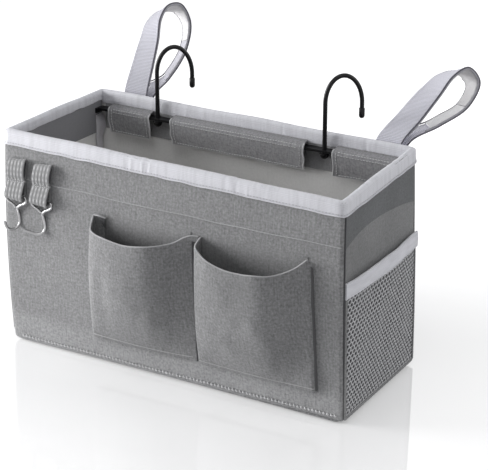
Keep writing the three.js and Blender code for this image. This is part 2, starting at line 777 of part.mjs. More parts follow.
function addTabs() {
  ['left', 'right'].forEach((side, i) => {
    add(`tab_loop_${side}`, geometryOf(tabLoop(TAB_X[i])), 'web');
    add(`accessory_hook_${side}`, geometryOf(smallHook(TAB_X[i], CROOK_TURN[i], CROOK_SWEEP[i], CROOK_TIP[i])), 'steel');
  });
}

// A flat band along some steps of a strap's loop, moved to the inside of the loop by the inset. The
// band lies along the wall at the root, and twists into the loop's own plane further out.
function strapBand(i, thickness, inset, from, to) {
  const yaw = degrees(STRAP_YAW[i]);
  const roll = degrees(STRAP_ROLL[i]);
  const back = new THREE.Vector3(Math.sin(yaw), Math.cos(yaw), 0);
  const across = new THREE.Vector3(Math.cos(yaw), -Math.sin(yaw), 0)
    .multiplyScalar(Math.cos(roll))
    .setZ(Math.sin(roll));
  const up = across.clone().cross(back);
  const wall = HALF_Y + BINDING_REACH + 2 * GAP + STRAP_TAPE / 2;
  const edge = new THREE.Vector3(STRAP_X[i] + STRAP_WIDTH / 2, wall, HEIGHT);
  const root = edge.clone().setZ(HEIGHT - STRAP_ROOT);
  const points = [
    root,
    ...STRAP_LOOP[i].map(([u, v]) => edge.clone().addScaledVector(back, u).addScaledVector(up, v)),
    root.clone().setY(wall + STRAP_ROOT_SPREAD),
  ];
  const curve = new THREE.CatmullRomCurve3(points, false, 'centripetal');
  const rings = Array.from({ length: to - from + 1 }, (_, k) => {
    const share = (from + k) / STRAP_STEPS;
    const point = curve.getPointAt(share);
    const twist = THREE.MathUtils.smoothstep(point.distanceTo(edge), ...STRAP_TWIST);
    const wide = AXIS_X.clone().lerp(across, twist).normalize();
    const thick = curve.getTangentAt(share).cross(wide).normalize();
    const centre = point.addScaledVector(wide, -STRAP_WIDTH / 2).addScaledVector(thick, inset);
    return [[-1, -1], [1, -1], [1, 1], [-1, 1]].map(([a, b]) => centre.clone()
      .addScaledVector(wide, a * STRAP_WIDTH / 2)
      .addScaledVector(thick, b * thickness / 2));
  });
  return loft(rings);
}

function addStraps() {
  const pileInset = STRAP_TAPE / 2 + 3 * GAP + STRAP_PILE / 2;
  const face = HALF_Y + GAP;
  const top = HEIGHT - Math.max(STRAP_ROOT, BINDING_OUT) - GAP;
  ['left', 'right'].forEach((side, i) => {
    add(`strap_${side}`, strapBand(i, STRAP_TAPE, 0, 0, STRAP_STEPS), 'tape');
    add(`strap_pile_${side}`, strapBand(i, STRAP_PILE, pileInset, ...PILE_STEPS), 'pile');
    add(`strap_patch_${side}`, block(
      [STRAP_X[i] - STRAP_WIDTH / 2, face, top - STRAP_PATCH],
      [STRAP_X[i] + STRAP_WIDTH / 2, face + STRAP_TAPE, top],
    ), 'tape');
  });
}

addShell();
addWallLayers();
addRimAndFacings();
addRail();
addPockets();
addNetPocket();
addTabs();
addStraps();

export default caddy;
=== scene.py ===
"""A bedside caddy in grey cloth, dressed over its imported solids.

Lengths are in millimetres in the part's own frame and become metres when a mesh is made.
"""
from math import cos, pi, radians, sin

import bpy
import numpy as np
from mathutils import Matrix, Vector


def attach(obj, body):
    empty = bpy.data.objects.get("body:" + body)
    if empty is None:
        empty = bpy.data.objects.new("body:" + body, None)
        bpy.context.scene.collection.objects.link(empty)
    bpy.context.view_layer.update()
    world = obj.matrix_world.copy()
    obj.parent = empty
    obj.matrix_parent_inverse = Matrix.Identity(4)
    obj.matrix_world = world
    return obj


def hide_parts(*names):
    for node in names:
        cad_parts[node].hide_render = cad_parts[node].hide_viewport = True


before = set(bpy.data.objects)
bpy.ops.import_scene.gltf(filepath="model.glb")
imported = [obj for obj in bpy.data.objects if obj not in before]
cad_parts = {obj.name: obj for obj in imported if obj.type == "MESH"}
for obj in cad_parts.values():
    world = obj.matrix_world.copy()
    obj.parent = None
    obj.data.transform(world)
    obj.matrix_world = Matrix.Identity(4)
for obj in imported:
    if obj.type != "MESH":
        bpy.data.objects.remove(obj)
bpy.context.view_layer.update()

MM = 0.001
SIDES = (("left", -1), ("right", 1))
FORWARD = (0, -1, 0)
# The box: half its width and depth, its height, its inside, and the round of its upright edges.
HX, HY, HEIGHT = 165.0, 70.0, 200.0
INNER_X, INNER_Y = 160.4, 65.4
EDGE = 3.2
# Thickness of the outer cloth, and depth behind the wall's face and thickness of the boards and linings.
CLOTH = 1.2
STIFFENER, LINED = (2.5, 2.0), (4.2, 0.8)
BAND_TOP = 189.7
# Slack cloth: the top of the back's belly, and the rounding of two lower corners.
BACK_BELLY, BACK_ROUND, FRONT_ROUND = 165.0, 14.0, 9.0
POCKET_FOOT, POCKET_DROP, POCKET_STEPS = 24.0, 114.0, 10
POCKET_CLOTH_THICK, POCKET_HEM_THICK = 1.1, 1.7
NET_TOP, NET_HALF, NET_TAPE = 112.0, 66.0, 14.3
# The channel over the bar: half its length and its gaps, then the rail hooks' and the bar's places.
FLAP_HALF = 145.0
WINDOWS = [(-100.5, -77.0), (60.5, 90.0)]
HOOK_X = {"left": -94.0, "right": 79.0}
BAR_Y = 60.0
# The rail hooks' wire radius, and the width, height, bore, bore's depth and foot of their nuts and end caps.
RAIL_WIRE = 2.0
NUT, NUT_FOOT = (8.0, 6.6, 4.4, 4.6), 178.1
CAP, CAP_FOOT = (5.2, 9.4, 4.0, 4.7), 214.6
# The tabs: their middles, half their width, their stand off the wall, the pitch of their ribs and dashes.
TAB_X = {"left": -156.5, "right": -129.0}
TAB_HALF, TAB_STAND, TAB_RIB, TAB_DASH = 9.25, 0.3, 3.7, 5.2
# The small hooks' wire radius; each one's yaw, the sweep of its crook, both in degrees, and its end's length.
SMALL_WIRE = 1.25
SMALL_HOOKS = (("left", 28.0, 165.0, 4.0), ("right", 58.0, 110.0, 10.8))
STRAP_X = {"left": -127.3, "right": 133.0}
STRAP_WIDE, STRAP_STAND, STRAP_STEPS = 24.0, 2.2, 220

# How far the soft box leans away from a straight one at its four corners: foot, half way, rim.
LEAN = {
    (-1, -1): [(-5, -1.5, -0.2), (-7, -2.5, 0), (-3.6, -1, 2.3)],
    (1, -1): [(2, 2.6, 0.8), (0.4, 0.2, 0), (0.7, -0.6, -2.2)],
    (-1, 1): [(0, 0, 0), (0, 0, 0), (2, 0, 2.2)],
    (1, 1): [(1.8, 0, -0.1), (0.2, 0, 0), (-3.4, 0, 0.8)],
}


def between(values, start, end):
    """How far values have come from start to end: 0 before, 1 past it and even between."""
    return np.clip((values - start) / (end - start), 0, 1)


def ripple(a, b, wave, seed):
    """Smooth seeded unevenness over a surface with coordinates a and b, about -1 to 1."""
    rng = np.random.default_rng(seed)
    count, total = 7, 0
    for _ in range(count):
        angle, phase = rng.uniform(0, 2 * pi, 2)
        rate = 2 * pi / (wave * rng.uniform(0.7, 1.5))
        total = total + np.sin(rate * (a * cos(angle) + b * sin(angle)) + phase)
    return total / count ** 0.5


def lean(points):
    """How far the box's lean moves each point."""
    x, y, z = np.moveaxis(points, -1, 0)
    u = np.clip(x / HX, -1, 1)
    w = np.clip(y / HY, -1, 1)
    t = between(z, 0, HEIGHT)
    parts = [(1 - t) * (1 - 2 * t), 4 * t * (1 - t), t * (2 * t - 1)]
    shift = np.zeros_like(points)
    for (sx, sy), levels in LEAN.items():
        share = (1 + sx * u) * (1 + sy * w) / 4
        for part, level in zip(parts, levels):
            shift += (share * part)[..., None] * np.array(level)
    return shift


def swell(points):
    """How far the four walls belly out between their seams."""
    x, y, z = np.moveaxis(points, -1, 0)
    across_x = np.sin(pi * between(x, -HX, HX))
    across_y = np.sin(pi * between(y, -HY, HY))
    high = np.sin(pi * between(z, 0, HEIGHT))
    low = np.sin(pi * between(z, 0, BACK_BELLY))
    uneven = ripple(x, z, 95, 3) * 0.55 + ripple(x, z, 26, 11) * 0.1
    front = across_x * high * 1.8 + across_x ** 0.5 * high ** 0.5 * uneven
    back = across_x * low * (2.5 + ripple(x, z, 80, 5) * 0.6)
    left = across_y * high * (2.2 + ripple(y, z, 70, 7) * 0.6)
    right = across_y * high * (0.8 + ripple(y, z, 60, 9) * 0.5)
    shift = np.zeros_like(points)
    shift[..., 1] = back * between(y, 0, HY) - front * between(y, 0, -HY)
    shift[..., 0] = right * between(x, 0, HX) - left * between(x, 0, -HX)
    return shift


def round_edge(points, axis, sign, radius, share):
    """Rounds off the foot's edge along one wall, by each point's share."""
    out = np.maximum(sign * points[..., axis] - ((HX, HY)[axis] - radius), 0)
    low = np.maximum(radius - points[..., 2], 0)
    far = np.maximum(np.hypot(out, low), 1e-6)
    cut = np.where((out > 0) & (low > 0), np.maximum(1 - radius / far, 0), 0) * share
    points[..., axis] -= sign * out * cut
    points[..., 2] += low * cut
    return points


def round_foot(points):
    """Rounds off the foot of the back towards the right end."""
    points = np.array(points, float)
    return round_edge(points, 1, 1, BACK_ROUND, between(points[..., 0], 110, 160))


def soften(points):
    """Gives straight points the slack box's lean, swell and rounded corners."""
    points = np.array(points, float)
    points = round_edge(points, 0, -1, FRONT_ROUND, between(points[..., 1], -20, -60))
    return round_foot(points + lean(points) + swell(points))


def with_wall(points, axis, place):
    """Moves what is sewn on a wall with the wall's face, straight out of it."""
    points = np.array(points, float)
    wall = points.copy()
    wall[..., axis] = place
    points[..., axis] += (lean(wall) + swell(wall))[..., axis]
    return points


def on_front(points):
    return with_wall(points, 1, -HY)


def on_right(points):
    return round_foot(with_wall(points, 0, HX))


# Points and paths.
def xyz(x, y, z):
    """Points from three coordinates, any of which may be one number for all."""
    return np.stack(np.broadcast_arrays(x, y, z), -1).astype(float)


def wall_grid(axis, place, run, heights):
    """Points on an upright wall that stands across an axis, row by row from its foot."""
    along, high = np.meshgrid(run, heights)
    return xyz(place, along, high) if axis == 0 else xyz(along, place, high)


def unit(vectors):
    return vectors / np.maximum(np.linalg.norm(vectors, axis=-1, keepdims=True), 1e-9)


def normals(grid):
    return unit(np.cross(np.gradient(grid, axis=1), np.gradient(grid, axis=0)))


def arc_length(points, axis=0):
    steps = np.linalg.norm(np.diff(points, axis=axis), axis=-1)
    zero = np.zeros_like(np.take(steps, [0], axis=axis))
    return np.cumsum(np.concatenate([zero, steps], axis=axis), axis=axis)


def even(path, count):
    """Evenly spaced points along a path."""
    at = arc_length(path)
    wanted = np.linspace(0, at[-1], count)
    return np.stack([np.interp(wanted, at, path[:, i]) for i in range(path.shape[1])], -1)


def resampled(path, step):
    path = np.asarray(path, float)
    return even(path, max(int(round(arc_length(path)[-1] / step)), 1) + 1)


def spline(points, steps):
    """Points on a centripetal spline through the given ones, steps to a stretch."""
    p = np.asarray(points, float)
    p = np.vstack([2 * p[0] - p[1], p, 2 * p[-1] - p[-2]])
    t = np.linspace(0, 1, steps, endpoint=False)[:, None]
    dense = []
    for p0, p1, p2, p3 in zip(p, p[1:], p[2:], p[3:]):
        spans = ((p0, p1), (p1, p2), (p2, p3))
        d0, d1, d2 = (max(np.linalg.norm(b - a) ** 0.5, 1e-4) for a, b in spans)
        m1 = (p2 - p1) + d1 * ((p1 - p0) / d0 - (p2 - p0) / (d0 + d1))
        m2 = (p2 - p1) + d1 * ((p3 - p2) / d2 - (p3 - p1) / (d1 + d2))
        cubic = 2 * (p1 - p2) + m1 + m2
        square = 3 * (p1 - p2) + 2 * m1 + m2
        dense.append(cubic * t ** 3 - square * t ** 2 + m1 * t + p1)
    dense.append(p[-2:-1])
    return np.concatenate(dense)


def curve(points, count):
    """Evenly spaced points on a spline through the given ones."""
    return even(spline(points, 60), count)


def rounded_plan(half_x, half_y, radius, step, arc=9):
    """A closed path round a box seen from above, and the way out at each point."""
    angles = np.radians([start + 90 * k / (arc - 1) for start in (-90, 0, 90, 180) for k in range(arc)])
    outs = xyz(np.cos(angles), np.sin(angles), 0)
    corners = np.repeat([(1, -1, 0), (1, 1, 0), (-1, 1, 0), (-1, -1, 0)], arc, 0)
    points = np.hstack([corners * [half_x - radius, half_y - radius, 0] + outs * radius, outs])
    path = []
    for a, b in zip(points, np.roll(points, -1, 0)):
        count = max(int(np.linalg.norm((b - a)[:3]) / step), 1)
        path += [a + (b - a) * (k / count) for k in range(count)]
    path, outs = np.hsplit(np.array(path), 2)
    return path, unit(outs)


# Meshes: each maker gives corner points, faces and the place of each point in the weave.
def grid_faces(rows, columns, wrap=True):
    index = np.arange(rows * columns).reshape(rows, columns)
    right = np.roll(index, -1, 1)
    quads = np.stack([index[:-1], right[:-1], right[1:], index[1:]], -1)
    return (quads if wrap else quads[:, :-1]).reshape(-1, 4)


def sheet(points, thickness, wrap=False):
    """A closed thin body about a grid of points; with wrap, the columns run round in a ring."""
    points = np.asarray(points, float)
    rows, columns = points.shape[:2]
    if wrap:
        along = np.roll(points, -1, 1) - np.roll(points, 1, 1)
    else:
        along = np.gradient(points, axis=1)
    half = np.broadcast_to(np.asarray(thickness, float), (rows, columns))[..., None] / 2
    off = unit(np.cross(along, np.gradient(points, axis=0))) * half
    verts = np.concatenate([(points + off).reshape(-1, 3), (points - off).reshape(-1, 3)])
    count = rows * columns
    index = np.arange(count).reshape(rows, columns)
    if wrap:
        rims = [index[0], index[-1, ::-1]]
    else:
        rims = [np.concatenate([index[0], index[1:, -1], index[-1, -2::-1], index[-2:0:-1, 0]])]
    quads = grid_faces(rows, columns, wrap)
    faces = [quads, quads[:, ::-1] + count]
    for a in rims:
        b = np.roll(a, -1)
        faces.append(np.stack([b, a, a + count, b + count], -1))
    faces = np.concatenate(faces).tolist()
    place = np.stack([arc_length(points, 1), arc_length(points, 0)], -1).reshape(-1, 2)
    return verts, faces, np.concatenate([place, place])


def capped(rings, place):
    """A closed body through rings of points, with a flat face at both ends."""
    sides = len(rings[0])
    last = (len(rings) - 1) * sides
    ends = [list(range(sides))[::-1], list(range(last, last + sides))]
    return np.concatenate(rings), grid_faces(len(rings), sides).tolist() + ends, place


def tube(path, radius, sides=8):
    """A round body along a path, of one radius or of one for each point."""
    path = np.asarray(path, float)
    tangent = unit(np.gradient(path, axis=0))
    across = np.cross(tangent[0], (0.31, 0.52, 0.79))
    angles = np.arange(sides) * 2 * pi / sides
    rings = []
    for point, along, r in zip(path, tangent, np.broadcast_to(radius, len(path))):
        across = unit(across - along * (across @ along))
        other = np.cross(along, across)
        rings.append(point + r * (np.outer(np.cos(angles), across) + np.outer(np.sin(angles), other)))
    length = np.repeat(arc_length(path), sides)
    return capped(rings, np.stack([np.tile(angles, len(path)), length], -1))


def lathe(profile, centre):
    """A turned body about an upright line, from [radius, height] points that start and end on it."""
    sides = 28
    angles = np.arange(sides) * 2 * pi / sides
    rings = [xyz(r * np.cos(angles), r * np.sin(angles), z) + centre for r, z in profile]
    return capped(rings, np.concatenate(rings)[:, [0, 2]])


def joined(*parts):
    verts, faces, places, start = [], [], [], 0
    for v, f, p in parts:
        verts.append(v)
        places.append(p)
        faces += [[i + start for i in face] for face in f]
        start += len(v)
    return np.concatenate(verts), faces, np.concatenate(places)


def stitches(path, out, length, gap, width=0.5, slant=0.0):
    """A row of thread stitches along a path; out is the way off the cloth, slant leans each stitch."""
    step = 0.25
    path = np.asarray(path, float)
    both = resampled(np.hstack([path, np.broadcast_to(np.asarray(out, float), path.shape)]), step)
    path, out = both[:, :3], unit(both[:, 3:])
    pitch = max(int(round((length + gap) / step)), 2)
    run = max(int(round(length / step)), 1)
    rise = np.array([-0.35, 0.25, 0.5, 0.5, 0.25, -0.35]) * width
    girth = np.array([0.5, 0.9, 1.0, 1.0, 0.9, 0.5]) * width / 2
    share = np.linspace(0, 1, len(rise))[:, None]
    parts = []
    for start in range(0, len(path) - run, pitch):
        a, b = path[start], path[start + run]
        lift = out[start + run // 2]
        side = np.cross(unit(b - a), lift) * slant
        parts.append(tube(a - side / 2 + (b - a + side) * share + lift * rise[:, None], girth, 6))
    return joined(*parts)


def added(name, data):
    obj = bpy.data.objects.new(name, data)
    bpy.context.scene.collection.objects.link(obj)
    return obj


def piece(name, made, material, node=None, body="caddy", crease=45):
    """An object on its body and, where it stands for a solid, in that node's place."""
    verts, faces, place = made
    mesh = bpy.data.meshes.new(name)
    mesh.from_pydata((np.asarray(verts) * MM).tolist(), [], faces)
    layer = mesh.uv_layers.new(name="weave")
    index = np.zeros(len(mesh.loops), np.int32)
    mesh.loops.foreach_get("vertex_index", index)
    layer.uv.foreach_set("vector", (np.asarray(place)[index] * MM).astype(np.float32).ravel())
    mesh.polygons.foreach_set("use_smooth", np.ones(len(mesh.polygons), bool))
    mesh.set_sharp_from_angle(angle=radians(crease))
    mesh.materials.append(material)
    obj = added(name, mesh)
    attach(obj, body)
    if node:
        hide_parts(node)
    return obj


# Materials. Cloth patterns lie in the weave's own map, which is in metres along the threads.
class Nodes:
    """A node tree, with short ways to add nodes and to set or link their sockets."""

    def __init__(self, tree):
        self.tree = tree

    def node(self, kind, inputs=None, **settings):
        made = self.tree.nodes.new("ShaderNode" + kind)
        for key, value in settings.items():
            setattr(made, key, value)
        for key, value in (inputs or {}).items():
            self.put(made.inputs[key], value)
        return made

    def put(self, socket, value):
        if isinstance(value, bpy.types.NodeSocket):
            self.tree.links.new(value, socket)
        else:
            socket.default_value = value

    def math(self, operation, a, b):
        return self.node("Math", {0: a, 1: b}, operation=operation).outputs[0]

    def vector(self, operation, *values):
        return self.node("VectorMath", dict(enumerate(values)), operation=operation).outputs

    def span(self, value, low, high, start=0.0, end=1.0, kind="LINEAR"):
        """Maps a value's range, start to end, to the range low to high."""
        inputs = {"Value": value, 1: start, 2: end, 3: low, 4: high}
        return self.node("MapRange", inputs, interpolation_type=kind).outputs[0]


class Surface(Nodes):
    """A material with one principled shader."""

    def __init__(self, name):
        self.material = bpy.data.materials.new(name)
        self.material.use_nodes = True
        super().__init__(self.material.node_tree)
        self.shader = self.tree.nodes["Principled BSDF"]

    def set(self, **values):
        for key, value in values.items():
            self.put(self.shader.inputs[key.replace("_", " ")], value)

    def place(self, scale, solid=False):
        if solid:
            source = self.node("TexCoord").outputs["Object"]
        else:
            source = self.node("UVMap", uv_map="weave").outputs["UV"]
        return self.node("Mapping", {"Vector": source, "Scale": scale}).outputs["Vector"]

    def noise(self, scale, detail=3.0, rough=0.6, solid=False):
        inputs = {"Vector": self.place(scale, solid), "Scale": 1.0, "Detail": detail, "Roughness": rough}
        return self.node("TexNoise", inputs).outputs["Fac"]

    def wave(self, rate, direction):
        inputs = {"Vector": self.place((rate, rate, 1)), "Scale": 1.0, "Distortion": 0.0}
        return self.node("TexWave", inputs, bands_direction=direction).outputs["Fac"]

    def plus(self, value, other, weight):
        return self.math("ADD", value, self.math("MULTIPLY", other, weight))

    def total(self, first, *others):
        """The sum of values, each given with its weight."""
        result = self.math("MULTIPLY", *first)
        for other in others:
            result = self.plus(result, *other)
        return result

    def ramp(self, fac, *stops):
        made = self.node("ValToRGB", {"Fac": fac})
        elements = made.color_ramp.elements
        while len(elements) < len(stops):
            elements.new(0.5)
        for element, (at, colour) in zip(elements, stops):
            element.position = at
            element.color = (*colour, 1.0)
        return made.outputs["Color"]

    def times(self, a, b):
        return self.node("Mix", {0: 1.0, 6: a, 7: b}, data_type="RGBA", blend_type="MULTIPLY").outputs[2]

    def bump(self, height, strength, distance):
        inputs = {"Height": height, "Strength": strength, "Distance": distance}
        self.set(Normal=self.node("Bump", inputs).outputs["Normal"])
        return self.material


def shade(colour, factor):
    return tuple(min(c * factor, 1.0) for c in colour)


def woven(name, colour, streak=0.3, blotch=0.07, bump=0.35, fade=None):
    """Woven cloth: crossing threads, slubs, uneven dye and, with fade, painted light and shade: another tone
    easing in towards one end.
    """
    s = Surface(name)
    slub = s.noise((700, 70, 1), 2.0)
    cross = s.noise((90, 800, 1), 2.0)
    fleck = s.noise((480, 420, 1), 4.0, 0.65)
    threads = s.total((slub, 0.26), (cross, 0.16), (fleck, 0.58))
    dark, light = shade(colour, 1 - streak), shade(colour, 1 + streak)
    base = s.ramp(threads, (0.36, dark), (0.5, colour), (0.64, light))
    cloud = s.noise((16, 16, 16), 3.0, 0.5, True)
    base = s.times(base, s.ramp(cloud, (0.3, (1 - blotch,) * 3), (0.7, (1.0, 1.0, 1.0))))
    # Painted light and shade: the colour is scaled by tone at start along the rows, easing to the plain
    # colour at end.
    if fade:
        start, end, tone = fade
        along = s.node("SeparateXYZ", {"Vector": s.place((1, 1, 1))}).outputs["Y"]
        base = s.times(base, s.span(along, tone, 1.0, start, end, "SMOOTHSTEP"))
    s.set(Base_Color=base, Sheen_Weight=0.12, Sheen_Roughness=0.6, Roughness=s.span(threads, 0.86, 0.98))
    thread = 0.0006
    rate = 1 / thread / 2
    weave = s.math("MULTIPLY", s.wave(rate, "X"), s.wave(rate, "Y"))
    return s.bump(s.plus(weave, threads, 1.4), bump, 0.0004)


def ribbed(name, colour, pitch, depth, streak=0.1, direction="X", wrinkle_shade=0.0):
    """Tape: ribs along or across it, with fibre variation and darker streaks across it: painted shade of
    small wrinkles.
    """
    s = Surface(name)
    ribs = s.wave(1 / pitch / 2, direction)
    fibre = s.noise((900, 900, 1))
    tone = s.total((ribs, 0.5), (fibre, 0.5))
    base = s.ramp(tone, (0.25, shade(colour, 1 - 2 * streak)), (0.75, shade(colour, 1 + streak)))
    # Darker streaks across the tape: painted shade of small wrinkles.
    if wrinkle_shade:
        wrinkle_shade_marks = s.noise((35, 190, 1))
        base = s.times(base, s.ramp(wrinkle_shade_marks, (0.34, (1 - wrinkle_shade,) * 3), (0.56, (1.0, 1.0, 1.0))))
    s.set(Base_Color=base, Roughness=s.span(fibre, 0.77, 0.93), Sheen_Weight=0.15)
    return s.bump(s.plus(ribs, fibre, 0.6), depth, 0.0005)


def webbed(name, colour, rib, dash):
    """Coarse webbing: ribs along it, each a run of light dashes with dark gaps to the next."""
    s = Surface(name)
    ribs = s.wave(pi / 10 / rib, "Y")
    beats = s.wave(pi / 10 / dash, "X")
    fibre = s.noise((700, 1400, 1))
    tone = s.math("MULTIPLY", ribs, s.math("ADD", s.math("MULTIPLY", beats, 0.5), 0.3))
    tone = s.plus(tone, fibre, 0.3)
    base = s.ramp(tone, (0.18, shade(colour, 0.74)), (0.5, colour), (0.85, shade(colour, 1.35)))
    s.set(Base_Color=base, Roughness=s.span(fibre, 0.8, 0.95), Sheen_Weight=0.1)
    return s.bump(tone, 0.4, 0.0005)


def fuzzy(name, colour):
    """Fleece of fine loops."""
    s = Surface(name)
    loops = s.noise((1600, 1600, 1600), 4.0, 0.7, True)
    s.set(Base_Color=s.ramp(loops, (0.3, shade(colour, 0.78)), (0.62, colour)), Sheen_Weight=0.4)
    s.set(Roughness=s.span(loops, 0.88, 1.0))
    return s.bump(loops, 0.8, 0.0012)


def painted(name, colour, rough, metallic=0.0, bump=0.05, specular=0.5):
    """Hard finishes: a slightly uneven sheen with faint rubbing and pits."""
    s = Surface(name)
    cloud = s.noise((60, 60, 60), 4.0, 0.6, True)
    pits = s.noise((700, 700, 700), 2.0, 0.5, True)
    s.set(Base_Color=s.ramp(cloud, (0.3, shade(colour, 0.8)), (0.7, shade(colour, 1.12))))
    s.set(Roughness=s.span(cloud, rough - 0.06, rough + 0.12), Metallic=metallic, Specular_IOR_Level=specular)
    return s.bump(pits, bump, 0.0003)


GREY, POCKET_GREY = (0.28, 0.28, 0.285), (0.278, 0.278, 0.283)
LINEN = woven("linen", GREY, 0.38, 0.12)
# The front's cloth is painted up to a quarter lighter at its foot, easing out by 34 mm up: painted light.
FRONT_LINEN_PAINTED_LIGHT = woven("front_linen_painted_light_foot", GREY, 0.38, 0.12, fade=(0.018, 0.034, 1.24))
END_CLOTH = woven("end_cloth", (0.23, 0.231, 0.234), 0.26, 0.2, 0.3)
END_BAND = woven("end_band_cloth", (0.128, 0.133, 0.139), 0.26, 0.2, 0.3)
POCKET_CLOTH = woven("pocket_cloth", (0.252, 0.252, 0.257), 0.4, 0.14)
# Sheets in the pockets' mouths, painted dark at their foot and easing to the cloth's grey at the top: painted
# shade, deeper in the left pocket.
POCKET_PAINTED_SHADE = {
    side: woven(f"pocket_{side}_back", POCKET_GREY, fade=(0.0, 0.036, tone))
    for side, tone in (("left", 0.25), ("right", 0.7))
}
# The channel's cloth is painted darker towards its top, where it lies over the bar: painted shade.
FACING_PAINTED_SHADE_TOP = woven("facing_cloth_painted_shade_top", (0.31, 0.308, 0.32), 0.36, fade=(0.032, 0.019, 0.72))
BACKING = woven("backing_cloth", (0.33, 0.33, 0.34), 0.2)
LINING = woven("lining", (0.80, 0.795, 0.785), 0.05, bump=0.15)
SIDE_LINING = woven("side_lining", (0.225, 0.225, 0.24), 0.05, bump=0.15)
FLOOR_LINING = woven("floor_lining", (0.74, 0.715, 0.66), 0.05, bump=0.15)
NET_PAINTED_SHADE = woven("net_painted_shade", (0.11, 0.11, 0.115), 0.1, bump=0.2)
FACING_HEM = woven("facing_hem_cloth", (0.58, 0.58, 0.59), 0.1, bump=0.2)
HEM = woven("hem_cloth", (0.42, 0.42, 0.43), 0.1, bump=0.2)
RETURN_PAINTED_SHADE = woven("pocket_return_painted_shade", (0.10, 0.10, 0.103), 0.1)
# Near-black cloth for dark lines and sheets set where there is only shade: painted shadow.
EDGE_SHADOW = woven("edge_painted_shadow", (0.055, 0.055, 0.06), 0.1)
BINDING = ribbed("binding_tape", (0.75, 0.75, 0.795), 0.0011, 0.2, 0.04, wrinkle_shade=0.11)
STRAP_PAINTED_LIGHT, CATCH_PAINTED_LIGHT = {}, {}
# The right strap's tape and catch are painted lighter than the left's, where the lamps reach them less:
# painted light.
for side, tone in (("left", 1.0), ("right", 1.4)):
    STRAP_PAINTED_LIGHT[side] = ribbed(f"strap_tape_{side}", shade((0.56, 0.556, 0.62), tone), 0.0024, 0.9, 0.16, "Y")
    CATCH_PAINTED_LIGHT[side] = ribbed(f"strap_catch_{side}", shade((0.5, 0.495, 0.545), tone ** 2), 0.0016, 0.6, 0.14, "Y")
RIBBON = ribbed("corner_ribbon", (0.68, 0.67, 0.71), 0.0013, 0.4, 0.08)
STRAP_EDGE = ribbed("strap_edge", (0.095, 0.09, 0.115), 0.0012, 0.3, direction="Y")
STRAP_SIDE = ribbed("strap_side", (0.44, 0.435, 0.475), 0.0012, 0.4, 0.2, "Y")
NET = ribbed("net_yarn", (0.55, 0.55, 0.565), 0.0006, 0.3, 0.12)
THREAD = ribbed("light_thread", (0.52, 0.52, 0.53), 0.0005, 0.4, 0.08, "Y")
FOOT_THREAD = ribbed("foot_thread", (0.76, 0.76, 0.77), 0.0005, 0.4, 0.08, "Y")
WHITE_THREAD = ribbed("white_thread", (0.80, 0.80, 0.84), 0.0005, 0.4, 0.05, "Y")
PILE = fuzzy("strap_pile", (0.78, 0.77, 0.78))
WEBBING = webbed("webbing", (0.30, 0.30, 0.305), TAB_RIB * MM, TAB_DASH * MM)
BLACK_STEEL = painted("black_steel", (0.007, 0.007, 0.008), 0.3, specular=0.22)
BLACK_CAP = painted("black_cap", (0.006, 0.006, 0.007), 0.22, specular=0.25)
NICKEL = painted("bright_wire", (0.36, 0.36, 0.365), 0.3, 1.0, 0.03)
BOARD = painted("grey_board", (0.07, 0.07, 0.072), 0.9, bump=0.3)


def floor_sheet(half_x, half_y, z, thickness):
    """A flat rounded sheet, as rings about its middle line."""
    outline, _ = rounded_plan(half_x, half_y, 4.0, 3.0, 7)
    spine = outline * [1 - half_y / half_x, 0.0, 0.0]
    rings = np.array([spine + (outline - spine) * share for share in (1.0, 0.97, 0.8, 0.55, 0.3, 0.02)])
    rings[..., 2] = z
    verts, faces, _ = sheet(round_foot(rings)[::-1], thickness, True)
    count, inner = len(verts) // 2, len(outline)
    faces = [face for face in faces if any(i % count >= inner for i in face)]
    faces += [list(range(inner))[::-1], list(range(count, count + inner))]
    return verts, faces, verts[:, :2]


